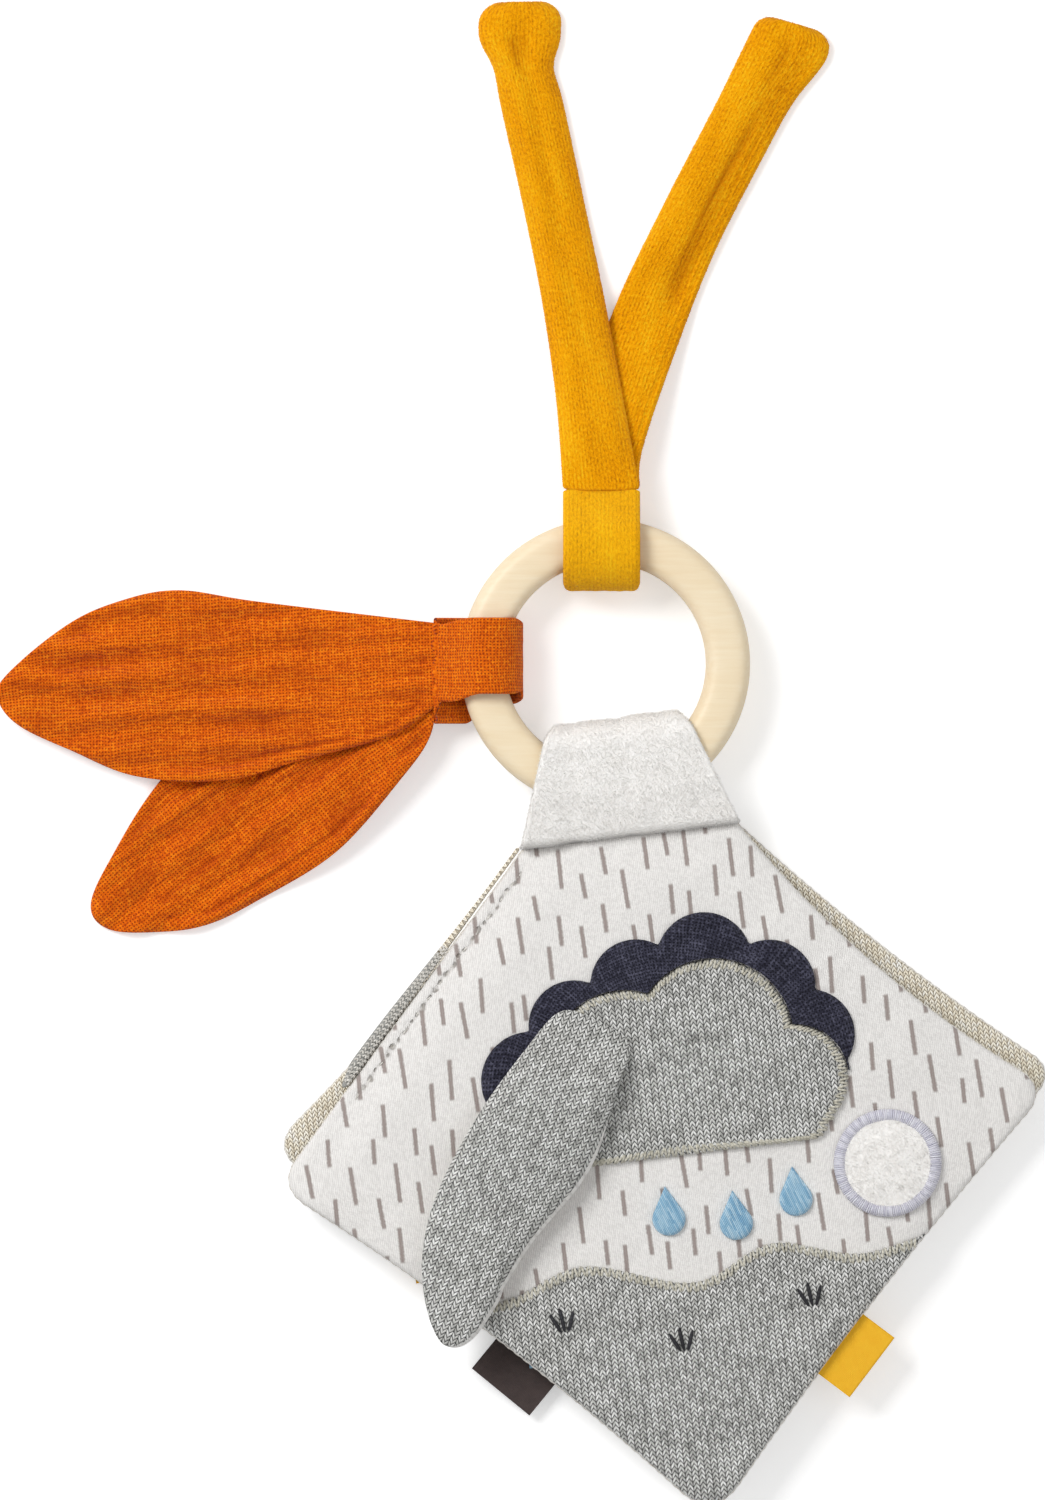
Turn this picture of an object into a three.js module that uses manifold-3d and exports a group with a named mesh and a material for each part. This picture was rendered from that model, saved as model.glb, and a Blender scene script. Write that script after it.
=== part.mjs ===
// Cloth book on a wooden ring, lying closed and face up on a table.
// Two padded leaves are hinged along a sewn spine. A plush tab at the top edge holds a wooden ring.
// A velour strap with two free arms and a muslin band with two pointed leaves are looped round the ring.
// Millimetres, +Z up, origin on the table under the middle of the book, +Y towards the ring.
import * as THREE from 'three';
import { mergeVertices } from 'three/addons/utils/BufferGeometryUtils.js';
import Module from 'manifold-3d';

const wasm = await Module();
wasm.setup();

// Driving dimensions
const clearance = 0.3;            // gap between pieces that touch
const bookTilt = 7;               // degrees the book is turned anticlockwise about the ring's frame

const topEdge = 71;               // straight top edge of both leaves, above the book's middle
const topHalfWidth = 25.6;
const leftReach = 94.4;           // side corners from the book's middle
const rightReach = 91.6;
const bottomReach = 94.6;         // lowest corner below the book's middle
const fabric = 1.0;               // knit or jersey of a leaf's panels
const seamGap = 0.3;              // between the two panels of a leaf at their seam
const backSeamHeight = 3.0;       // seam of the back leaf above the table
const frontSeamHeight = 10.6;
const panelRise = 2.85;           // padded panel above its seam, at the end of the rolled edge
const crownRise = 0.6;            // further rise at the middle of the front cover
const rimRise = 0.9;              // panel above its seam right at the rim
const rollWidth = 24;             // width of the rolled edge round a leaf
const apothem = 64;               // leaf's middle to its edges
const paddingInset = 5;           // wadding's edge inside the rim
const foilThickness = 0.2;

const spineHeight = 7.2;          // hinge line of the spine above the table
const spineRadius = 1.4;          // rolled binding
const spineLength = 72;
const spineReach = 1.8;           // hinge line outside the front leaf's sewn edge
const pinchWidth = 15;            // how far the leaves are drawn together beside the spine
const backPinch = 0.9;
const frontPinch = -2.3;

const appliqueThickness = 1.2;
const patchThickness = 1.6;       // plush moon
const tagThickness = 1.0;
const tagWidth = 18;
const tagLength = 9.3;
const careTagLength = 12.5;
const pagePatch = 13;             // side of the felt squares sewn inside the book
const pagePatchHeight = 6.8;
const pagePatchPeek = 1;          // how far a corner of one shows beyond the front leaf

const flapAngle = 239.1;          // degrees, from the book's right to the flap's tip
const flapRim = 1.0;              // half thickness at its edge
const flapBelly = 2.6;            // below its seam
const flapCrown = 3.4;            // above its seam

const ringRadius = 29.6;          // middle of the wooden band
const ringBand = 10.75;           // its width
const ringThickness = 9;
const ringEdge = 3.5;             // edge rounding
const ringSide = -0.9;            // ring's centre beside the book's centre line

const tabPly = 1.5;
const tabNeck = 5.9;              // top edge of the book to the tab's channel
const tabNeckHeight = 3.1;
const tabLength = 28.1;           // top edge of the book to the fold
const tabHalfWidth = 26.6;
const tabFoldHalfWidth = 16.7;
const tabSide = 0;                // its middle beside the book's centre line
const tabCorner = 5;
const channelRadius = 5.2;

const strapPly = 2.6;
const strapHalfWidth = 9.3;
const strapSide = -0.9;           // its middle beside the ring's centre
const strapSlack = 1.4;
const strapNeck = 13.0;           // pivot on the ring to the stitch line
const muslinPly = 1.3;
const muslinHalfWidth = 10.4;
const muslinNeck = 12.4;
const muslinSide = 0.7;
const foldHeight = 1.4;           // crinkles of the muslin leaves
const foldPitch = 8.5;
const dropRun = 46;               // length over which a leaf or an arm sinks to the table
const lowest = 0.3;               // loose cloth above the table

const colours = {
  jersey: 0xeeedeb, melange: 0xa8a8a5, beige: 0xcdb991, plush: 0xe6e4e1, navy: 0x3a3c52,
  blue: 0x7db4d7, mustard: 0xde980a, orange: 0xc85a0a, wood: 0xeedab4, yellow: 0xe1a519,
  brown: 0x3a3230, wadding: 0xf4f4f0, foil: 0xd8dce0,
};

// Solids and meshes
const toSolid = (geometry) => {
  const bare = geometry.clone();
  bare.deleteAttribute('normal');
  bare.deleteAttribute('uv');
  const merged = mergeVertices(bare, 1e-4);
  return new wasm.Manifold(new wasm.Mesh({
    numProp: 3,
    vertProperties: new Float32Array(merged.attributes.position.array),
    triVerts: new Uint32Array(merged.index.array),
  }));
};

const toGeometry = (solid) => {
  const mesh = solid.getMesh();
  const geometry = new THREE.BufferGeometry();
  geometry.setAttribute('position', new THREE.BufferAttribute(new Float32Array(mesh.vertProperties), 3));
  geometry.setIndex(new THREE.BufferAttribute(new Uint32Array(mesh.triVerts), 1));
  return geometry;
};

const piece = (name, geometry, colour, parent, roughness = 0.95) => {
  geometry.computeVertexNormals();
  const material = new THREE.MeshStandardMaterial({ color: colour, roughness, metalness: 0 });
  const mesh = new THREE.Mesh(geometry, material);
  mesh.name = name;
  parent.add(mesh);
  return mesh;
};

const smooth = (t) => THREE.MathUtils.smoothstep(t, 0, 1);

// Plan outlines. A corner is its sharp point, its rounding and the bow of the edge that follows it
// (minus is drawn in). Corners run anticlockwise.
const corner = (x, y, round, bow = 0) => ({ point: new THREE.Vector2(x, y), round, bow });

const edgeCurve = (corners, i) => {
  const count = corners.length;
  const at = (k) => corners[(k + count) % count];
  const cut = (k) => {
    const towards = (other) => other.point.clone().sub(at(k).point).normalize();
    const half = towards(at(k - 1)).angleTo(towards(at(k + 1))) / 2;
    return at(k).round / Math.tan(half);
  };
  const along = at(i + 1).point.clone().sub(at(i).point).normalize();
  const start = at(i).point.clone().addScaledVector(along, cut(i));
  const end = at(i + 1).point.clone().addScaledVector(along, -cut(i + 1));
  const outward = new THREE.Vector2(along.y, -along.x);
  const middle = start.clone().add(end).multiplyScalar(0.5).addScaledVector(outward, 2 * at(i).bow);
  return new THREE.QuadraticBezierCurve(start, middle, end);
};

const roundedOutline = (corners, step = 11, cornerSteps = 4) => {
  const points = [];
  corners.forEach((current, i) => {
    const before = edgeCurve(corners, (i + corners.length - 1) % corners.length);
    const after = edgeCurve(corners, i);
    const bend = new THREE.QuadraticBezierCurve(before.getPoint(1), current.point, after.getPoint(0));
    const bends = current.round > 0 ? Math.max(1, Math.round(cornerSteps * Math.min(1, current.round / 5))) : 0;
    if (bends > 0) points.push(...bend.getPoints(bends).slice(0, -1));
    const edges = Math.max(1, Math.round(after.getLength() / step));
    points.push(...after.getPoints(edges).slice(0, -1));
  });
  return points;
};

// A prism over a plan outline, tall enough to cut any layer of the book
const reach = 60;
const prism = (points) => {
  const geometry = new THREE.ExtrudeGeometry(new THREE.Shape(points), { depth: reach, bevelEnabled: false });
  return toSolid(geometry.translate(0, 0, -reach / 2));
};

const disc = (x, y, radius, segments = 28) => {
  const geometry = new THREE.CylinderGeometry(radius, radius, reach, segments);
  return toSolid(geometry.rotateX(Math.PI / 2).translate(x, y, 0));
};

const union = (solids) => solids.reduce((all, next) => all.add(next));

// Leaves
const frontCorners = [
  corner(-topHalfWidth, topEdge, 5),
  corner(-leftReach, -2.3, 7.5, -2.4),
  corner(0, -bottomReach, 9, -1.5),
  corner(rightReach, -2.4, 6.5, -3.9),
  corner(topHalfWidth, topEdge, 2),
];
const backCorners = [
  corner(-topHalfWidth, topEdge, 2, -1.9),
  corner(-leftReach, 6.4, 7, -1.5),
  corner(0, 4.6 - bottomReach, 9, -1),
  corner(rightReach + 3, 1.8, 6, -1.8),
  corner(topHalfWidth, topEdge, 2),
];
const leafCentre = new THREE.Vector2(0, -7);

// The hinge line lies outside the front leaf's sewn edge and runs up it, towards the ring
const spineTop = frontCorners[0].point;
const spineAlong = spineTop.clone().sub(frontCorners[1].point).normalize();
const spineInward = new THREE.Vector2(spineAlong.y, -spineAlong.x);
const spineStart = spineTop.clone().addScaledVector(spineInward, -spineReach);
const besideSpine = (x, y) => spineInward.dot(new THREE.Vector2(x, y).sub(spineStart));

const rollRings = [0, 1.5, paddingInset, rollWidth / 2, rollWidth];
const crownRing = (rollWidth + apothem) / 2;
const leafRings = [...rollRings, crownRing];

const outerRise = (inset, crown) => {
  const turn = 1 - Math.min(inset / rollWidth, 1);
  const roll = rimRise + (panelRise - rimRise) * Math.sqrt(1 - turn * turn);
  return roll + crown * smooth((inset - rollWidth) / (apothem - rollWidth));
};
const innerRise = (inset, crown) => (inset < paddingInset ? 0 : outerRise(inset, crown) - fabric);

// A closed layer between two heights above the seam, from a ring of the leaf to its middle
const leafLayer = (leaf, firstRing, lower, upper) => {
  const outline = leaf.outline;
  const rings = leafRings.slice(firstRing);
  const positions = [];
  const put = (x, y, rise) => {
    const pinch = leaf.pinch * (1 - smooth(besideSpine(x, y) / pinchWidth));
    positions.push(x, y, leaf.seam + pinch + rise);
  };
  for (const rise of [upper, lower]) {
    for (const inset of rings) {
      const share = 1 - inset / apothem;
      for (const point of outline) {
        const spot = leafCentre.clone().lerp(point, share);
        put(spot.x, spot.y, rise(inset));
      }
    }
    put(leafCentre.x, leafCentre.y, rise(apothem));
  }
  const count = outline.length;
  const side = rings.length * count + 1;
  const index = [];
  const face = (a, b, c, flip) => index.push(...(flip ? [a, c, b] : [a, b, c]));
  for (let i = 0; i < count; i += 1) {
    const next = (i + 1) % count;
    for (const offset of [0, side]) {
      const flip = offset > 0;
      for (let k = 0; k + 1 < rings.length; k += 1) {
        const a = offset + k * count;
        const b = a + count;
        face(a + i, a + next, b + next, flip);
        face(a + i, b + next, b + i, flip);
      }
      const last = offset + (rings.length - 1) * count;
      face(last + i, last + next, offset + side - 1, flip);
    }
    face(side + i, side + next, next, false);
    face(side + i, next, i, false);
  }
  const geometry = new THREE.BufferGeometry();
  geometry.setAttribute('position', new THREE.Float32BufferAttribute(positions, 3));
  geometry.setIndex(index);
  return geometry;
};

const halfGap = seamGap / 2;
const topPanel = (leaf) => leafLayer(
  leaf, 0,
  (inset) => halfGap + innerRise(inset, leaf.crown),
  (inset) => halfGap + outerRise(inset, leaf.crown),
);
const bottomPanel = (leaf) => leafLayer(
  leaf, 0,
  (inset) => -halfGap - outerRise(inset, 0),
  (inset) => -halfGap - innerRise(inset, 0),
);
const paddingRing = rollRings.indexOf(paddingInset);
const wadding = (leaf, spareAbove) => leafLayer(
  leaf, paddingRing,
  (inset) => clearance - halfGap - innerRise(inset, 0),
  (inset) => halfGap + innerRise(inset, leaf.crown) - clearance - spareAbove,
);
const foil = (leaf) => leafLayer(
  leaf, paddingRing,
  (inset) => halfGap + innerRise(inset, leaf.crown) - clearance - foilThickness,
  (inset) => halfGap + innerRise(inset, leaf.crown) - clearance,
);

const frontLeaf = {
  outline: roundedOutline(frontCorners), seam: frontSeamHeight, pinch: frontPinch, crown: crownRise,
};
const backLeaf = { outline: roundedOutline(backCorners), seam: backSeamHeight, pinch: backPinch, crown: 0 };

const part = new THREE.Group();
const book = new THREE.Group();
book.rotation.z = THREE.MathUtils.degToRad(bookTilt);
part.add(book);

piece('back_cover_panel', bottomPanel(backLeaf), colours.beige, book);
piece('back_wadding', wadding(backLeaf, 0), colours.wadding, book);
piece('back_inner_panel', topPanel(backLeaf), colours.beige, book);
piece('front_inner_panel', bottomPanel(frontLeaf), colours.melange, book);
piece('front_wadding', wadding(frontLeaf, foilThickness + clearance), colours.wadding, book);
piece('crinkle_foil', foil(frontLeaf), colours.foil, book, 0.4);
piece('front_cover_panel', topPanel(frontLeaf), colours.jersey, book);

// Spine binding, a rolled edge on the hinge line
const binding = new THREE.CapsuleGeometry(spineRadius, spineLength - 2 * spineRadius, 3, 10);
const spineMesh = piece('spine_binding', binding, colours.melange, book);
const spineMiddle = spineStart.clone().addScaledVector(spineAlong, -spineLength / 2 - 2);
spineMesh.position.set(spineMiddle.x, spineMiddle.y, spineHeight);
spineMesh.rotation.z = spineAlong.angle() - Math.PI / 2;

// Pieces sewn flat on the front cover: a blanket that follows the cover, cut to each outline
const blanket = (thickness) => toSolid(leafLayer(
  frontLeaf, 0,
  (inset) => halfGap + outerRise(inset, crownRise) + clearance,
  (inset) => halfGap + outerRise(inset, crownRise) + clearance + thickness,
));
const sewnOn = (name, outline, thickness, colour) => (
  piece(name, toGeometry(blanket(thickness).intersect(outline)), colour, book)
);

const cloudLobes = [[-28, 6, 13], [-8, 16, 18], [14, 20, 19], [32, 8, 13]];
const cloudBase = [corner(-35, -7, 4), corner(39, -7, 4), corner(44, 8, 3), corner(-40, 8, 3)];
const cloud = (grow) => union([
  ...cloudLobes.map(([x, y, radius]) => disc(x, y, radius + grow)),
  prism(roundedOutline(cloudBase.map(({ point, round }) => corner(
    point.x + grow * Math.sign(point.x), point.y + grow * Math.sign(point.y), round + grow,
  )))),
]);
sewnOn('cloud_applique', cloud(0), appliqueThickness, colours.melange);

const scallops = [[-31, 15, 12], [-19, 27, 11], [-3, 35, 11], [14, 39, 11.5], [29, 31, 11], [37, 18, 11]];
const scallopShape = union(scallops.map(([x, y, radius]) => disc(x, y, radius))).subtract(cloud(clearance));
const pieces = scallopShape.intersect(prism(roundedOutline([
  corner(-60, 8 + clearance, 0), corner(60, 8 + clearance, 0), corner(60, 70, 0), corner(-60, 70, 0),
])));
sewnOn('scallop_trim', pieces, appliqueThickness, colours.navy);

const hillInset = 1.5;            // inside the cover's rim
const hillEdge = frontLeaf.outline.map((point) => leafCentre.clone().lerp(point, 1 - hillInset / apothem));
const hillTop = new THREE.SplineCurve([
  new THREE.Vector2(70, -30), new THREE.Vector2(44, -36), new THREE.Vector2(22, -31),
  new THREE.Vector2(2, -38), new THREE.Vector2(-24, -31), new THREE.Vector2(-46, -37), new THREE.Vector2(-70, -30),
]);
const hillField = [new THREE.Vector2(-70, -100), new THREE.Vector2(70, -100), ...hillTop.getPoints(24)];
sewnOn('hill_applique', prism(hillEdge).intersect(prism(hillField)), appliqueThickness, colours.melange);

sewnOn('moon_patch', disc(52, -15, 13, 36), patchThickness, colours.plush);

const dropRadius = 4;
const dropShape = (x, y) => {
  const around = Array.from({ length: 17 }, (_, i) => {
    const angle = THREE.MathUtils.degToRad(150 + (240 * i) / 16);
    return new THREE.Vector2(x + dropRadius * Math.cos(angle), y + dropRadius * Math.sin(angle));
  });
  return prism([...around, new THREE.Vector2(x, y + 2 * dropRadius)]);
};
[[-2, -22], [14, -25], [29, -21]].forEach(([x, y], i) => {
  sewnOn(`rain_drop_${i + 1}`, dropShape(x, y), appliqueThickness, colours.blue);
});

// Flat pieces set on a leaf's edge: their middle is a given way outside it
const onEdge = (name, corners, edge, along, outside, size, turn, height, colour) => {
  const curve = edgeCurve(corners, edge);
  const tangent = curve.getTangent(along);
  const outward = new THREE.Vector2(tangent.y, -tangent.x);
  const spot = curve.getPoint(along).addScaledVector(outward, outside);
  const mesh = piece(name, new THREE.BoxGeometry(size.x, size.y, tagThickness), colour, book);
  mesh.position.set(spot.x, spot.y, height);
  mesh.rotation.z = tangent.angle() + turn;
};
const seamTag = (name, corners, edge, along, length, height, colour) => onEdge(
  name, corners, edge, along, clearance + length / 2, new THREE.Vector2(tagWidth, length), 0, height, colour,
);
seamTag('side_tag', frontCorners, 2, 0.372, tagLength, frontSeamHeight, colours.yellow);
seamTag('care_tag', backCorners, 1, 0.61, careTagLength, backSeamHeight, colours.brown);
const feltPatch = (name, along, colour) => onEdge(
  name, frontCorners, 1, along, pagePatchPeek - pagePatch * Math.SQRT1_2,
  new THREE.Vector2(pagePatch, pagePatch), Math.PI / 4, pagePatchHeight, colour,
);
feltPatch('yellow_patch', 0.29, colours.yellow);
feltPatch('blue_patch', 0.586, colours.blue);

// Stuffed drop-shaped flap, sewn to the cover along its narrow end
const flap = new THREE.Group();
const flapEnd = new THREE.Vector2(-12.7, 27.1);
flap.position.set(flapEnd.x, flapEnd.y, frontSeamHeight + halfGap + panelRise + crownRise
  + clearance + appliqueThickness + clearance + flapBelly);
flap.rotation.z = THREE.MathUtils.degToRad(flapAngle);
book.add(flap);

const flapOutline = new THREE.SplineCurve([
  [0, -9.3], [9, -12.6], [30, -16.6], [52, -17.6], [68, -14.6], [80, -8], [86.6, 0], [82, 5],
  [70, 6.8], [55, 8.4], [33, 13], [10, 11], [0, 8.8],
].map(([x, y]) => new THREE.Vector2(x, y))).getPoints(36);
const stuffed = (outline, centre, shares, belly, crown) => {
  const positions = [];
  const index = [];
  const count = outline.length;
  const swell = (share) => Math.sqrt(Math.max(0, 1 - share * share));
  for (const [sign, full] of [[1, crown], [-1, belly]]) {
    for (const share of shares) {
      const rise = flapRim + (full - flapRim) * swell(share);
      outline.forEach((point) => {
        const spot = centre.clone().lerp(point, share);
        positions.push(spot.x, spot.y, sign * rise);
      });
    }
    positions.push(centre.x, centre.y, sign * full);
  }
  const side = shares.length * count + 1;
  for (let i = 0; i < count; i += 1) {
    const next = (i + 1) % count;
    for (let k = 0; k + 1 < shares.length; k += 1) {
      const a = k * count;
      const b = a + count;
      index.push(a + i, a + next, b + next, a + i, b + next, b + i);
      index.push(side + a + i, side + b + next, side + a + next, side + a + i, side + b + i, side + b + next);
    }
    const last = (shares.length - 1) * count;
    index.push(last + i, last + next, side - 1, side + last + next, side + last + i, 2 * side - 1);
    index.push(side + i, side + next, next, side + i, next, i);
  }
  const geometry = new THREE.BufferGeometry();
  geometry.setAttribute('position', new THREE.Float32BufferAttribute(positions, 3));
  geometry.setIndex(index);
  return geometry;
};
const flapCentre = new THREE.Vector2(46, -3.5);
piece('drop_flap', stuffed(flapOutline, flapCentre, [1, 0.95, 0.8, 0.5], flapBelly, flapCrown), colours.melange, flap);

// Plush tab: a flat sleeve whose channel lets the ring turn, closed at a neck on the book's top edge
const hull = (points) => {
  const sorted = [...points].sort((a, b) => a.x - b.x || a.y - b.y);
  const half = (list) => {
    const chain = [];
    for (const point of list) {
      while (chain.length > 1) {
        const [a, b] = chain.slice(-2);
        if ((b.x - a.x) * (point.y - a.y) - (b.y - a.y) * (point.x - a.x) > 1e-9) break;
        chain.pop();
      }
      chain.push(point);
    }
    return chain.slice(0, -1);
  };
  return [...half(sorted), ...half(sorted.reverse())];
};
const circle = (x, y, radius, steps = 24) => Array.from({ length: steps }, (_, i) => {
  const angle = (2 * Math.PI * (i + 0.5)) / steps;
  return new THREE.Vector2(x + radius * Math.cos(angle), y + radius * Math.sin(angle));
});

// A sleeve's side view lies in (distance, height); it is extruded over its width
const sleeve = (outer, inner, halfWidth) => {
  const shape = new THREE.Shape(outer);
  shape.holes.push(new THREE.Path(inner));
  return new THREE.ExtrudeGeometry(shape, { depth: 2 * halfWidth, bevelEnabled: false }).translate(0, 0, -halfWidth);
};

// The bore of a loop lets it swing about the ring's tangent
const loopBore = (halfWidth, offset) => {
  const inner = Math.sqrt((ringRadius - ringBand / 2) ** 2 - (halfWidth + Math.abs(offset)) ** 2);
  const outer = ringRadius + ringBand / 2;
  const swing = Math.hypot((outer - inner) / 2 - ringEdge, ringThickness / 2 - ringEdge) + ringEdge;
  return { radius: swing + clearance, pivot: (outer + inner) / 2 };
};
const strapBore = loopBore(strapHalfWidth, strapSide);
const muslinBore = loopBore(muslinHalfWidth, muslinSide);
const ringHeight = lowest + strapPly + strapBore.radius;

const tabStart = topEdge + clearance;
const channelStart = tabStart + tabNeck;
const channelNear = channelStart + channelRadius;
const channelFar = tabStart + tabLength - tabPly - channelRadius;
const tabOuter = hull([
  ...circle(channelNear, ringHeight, channelRadius + tabPly),
  ...circle(channelFar, ringHeight, channelRadius + tabPly),
  new THREE.Vector2(tabStart, tabNeckHeight - tabPly), new THREE.Vector2(tabStart, tabNeckHeight + tabPly),
]);
const tabInner = hull([
  ...circle(channelNear, ringHeight, channelRadius), ...circle(channelFar, ringHeight, channelRadius),
  new THREE.Vector2(tabStart + 2 * tabPly, tabNeckHeight + tabPly / 2),
]);
const tabSleeve = sleeve(tabOuter, tabInner, tabHalfWidth + 1);
tabSleeve.rotateX(Math.PI / 2).rotateZ(Math.PI / 2);
const tabPlan = roundedOutline([
  corner(-tabHalfWidth, tabStart - 1, 0), corner(tabHalfWidth, tabStart - 1, 0),
  corner(tabFoldHalfWidth, tabStart + tabLength + 0.01, tabCorner),
  corner(-tabFoldHalfWidth, tabStart + tabLength + 0.01, tabCorner),
]);
const tab = toSolid(tabSleeve).intersect(prism(tabPlan));
piece('plush_tab', toGeometry(tab), colours.plush, book).position.x = tabSide;

// Wooden ring
const ringGroup = new THREE.Group();
ringGroup.position.set(ringSide, channelStart + 2 * clearance + ringRadius + ringBand / 2, ringHeight);
ringGroup.rotation.z = -book.rotation.z;
book.add(ringGroup);

const ringSection = [];
for (let quarter = 0; quarter < 4; quarter += 1) {
  const right = quarter === 0 || quarter === 3 ? 1 : -1;
  const up = quarter < 2 ? 1 : -1;
  for (let step = 0; step <= 3; step += 1) {
    const angle = (Math.PI / 2) * (quarter + step / 3);
    ringSection.push(new THREE.Vector2(
      ringRadius + right * (ringBand / 2 - ringEdge) + ringEdge * Math.cos(angle),
      up * (ringThickness / 2 - ringEdge) + ringEdge * Math.sin(angle),
    ));
  }
}
ringSection.push(ringSection[0].clone());
const ringGeometry = new THREE.LatheGeometry(ringSection, 60).rotateX(Math.PI / 2);
piece('wooden_ring', ringGeometry, colours.wood, ringGroup, 0.55);

// Loops round the ring
const loopProfile = (bore, ply, slack, neck) => {
  const outer = hull([
    ...circle(0, 0, bore + ply), ...circle(-slack, 0, bore + ply),
    new THREE.Vector2(neck, -ply - clearance / 2), new THREE.Vector2(neck, ply + clearance / 2),
  ]);
  const inner = hull([...circle(0, 0, bore), ...circle(-slack, 0, bore), new THREE.Vector2(neck - 2 * ply, 0)]);
  return { outer, inner };
};

const strapSides = loopProfile(strapBore.radius, strapPly, strapSlack, strapNeck);
const strapGeometry = sleeve(strapSides.outer, strapSides.inner, strapHalfWidth);
strapGeometry.rotateX(Math.PI / 2).rotateZ(Math.PI / 2).translate(strapSide, strapBore.pivot, 0);
piece('strap_loop', strapGeometry, colours.mustard, ringGroup);

const muslinSides = loopProfile(muslinBore.radius, muslinPly, 0, muslinNeck);
const bandGeometry = sleeve(muslinSides.outer, muslinSides.inner, muslinHalfWidth);
bandGeometry.rotateX(Math.PI / 2).rotateZ(Math.PI).translate(-muslinBore.pivot, muslinSide, 0);
piece('muslin_band', bandGeometry, colours.orange, ringGroup);

// Loose cloth: a slab over a grid whose underside follows a height, cut to its plan outline.
// The grid runs along and across the cloth, so that its folds are resolved with few faces.
const clothSlab = (origin, angle, size, cells, thickness, height) => {
  const positions = [];
  const index = [];
  const [columns, rows] = cells;
  const along = new THREE.Vector2(1, 0).rotateAround(new THREE.Vector2(), angle);
  const across = new THREE.Vector2(-along.y, along.x);
  for (const rise of [thickness, 0]) {
    for (let j = 0; j <= rows; j += 1) {
      for (let i = 0; i <= columns; i += 1) {
        const spot = origin.clone().addScaledVector(along, (size.x * i) / columns)
          .addScaledVector(across, size.y * (j / rows - 0.5));
        positions.push(spot.x, spot.y, height(spot.x, spot.y, size.y * (j / rows - 0.5)) + rise - ringHeight);
      }
    }
  }
  const layer = (columns + 1) * (rows + 1);
  const at = (i, j) => j * (columns + 1) + i;
  const quad = (a, b, c, d) => index.push(a, b, c, a, c, d);
  for (let j = 0; j < rows; j += 1) {
    for (let i = 0; i < columns; i += 1) {
      const [a, b, c, d] = [at(i, j), at(i + 1, j), at(i + 1, j + 1), at(i, j + 1)];
      quad(a, b, c, d);
      quad(layer + b, layer + a, layer + d, layer + c);
    }
  }
  for (let i = 0; i < columns; i += 1) {
    quad(layer + at(i, 0), layer + at(i + 1, 0), at(i + 1, 0), at(i, 0));
    quad(at(i, rows), at(i + 1, rows), layer + at(i + 1, rows), layer + at(i, rows));
  }
  for (let j = 0; j < rows; j += 1) {
    quad(at(0, j), at(0, j + 1), layer + at(0, j + 1), layer + at(0, j));
    quad(layer + at(columns, j), layer + at(columns, j + 1), at(columns, j + 1), at(columns, j));
  }
  const geometry = new THREE.BufferGeometry();
  geometry.setAttribute('position', new THREE.Float32BufferAttribute(positions, 3));
  geometry.setIndex(index);
  return toSolid(geometry);
};

// Strap arms, in the ring's frame: they leave the stitch line as a stack and sink to the table
const stitchLine = strapBore.pivot + strapNeck;
const armStart = stitchLine + clearance;
const backArmBase = ringHeight - clearance / 2 - strapPly;
const sink = (distance, from, to) => to + (from - to) * (1 - smooth(distance / dropRun));
const backArmHeight = (x, y) => sink(y - armStart - 4, backArmBase, lowest);
const armParting = 43;            // where the arms no longer lie on each other
const armSettle = 24;             // and how soon the upper one comes down
const frontArmHeight = (x, y) => backArmHeight(x, y)
  + (strapPly + clearance) * (1 - smooth((y - armStart - armParting) / armSettle));
const arm = (name, points, height) => {
  const slab = clothSlab(new THREE.Vector2(0, armStart - 1), Math.PI / 2, new THREE.Vector2(122, 130),
    [26, 1], strapPly, height);
  const outline = new THREE.SplineCurve(points.map(([x, y]) => new THREE.Vector2(x, armStart + y)));
  piece(name, toGeometry(slab.intersect(prism(outline.getPoints(56)))), colours.mustard, ringGroup);
};
arm('strap_arm_back', [
  [8.4, 0], [9, 10], [16.9, 33.4], [26.4, 57.5], [38.7, 81.6], [45.4, 93.7], [53, 103.5], [52, 108.5],
  [41.5, 114.2], [36.6, 112], [29.7, 99.7], [14.3, 69.6], [2.7, 45.4], [-5, 23], [-9.4, 6], [-10.2, 0],
], backArmHeight);
arm('strap_arm_front', [
  [8.4, 0], [6, 13], [0, 45.5], [-5, 69.7], [-10.1, 93.8], [-12, 104], [-11, 113.5], [-16, 117.8],
  [-24, 117.6], [-30.6, 112.8], [-28.4, 104], [-25, 92], [-20, 69.7], [-15.2, 45.5], [-11.8, 21.4], [-10.2, 0],
], frontArmHeight);

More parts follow.
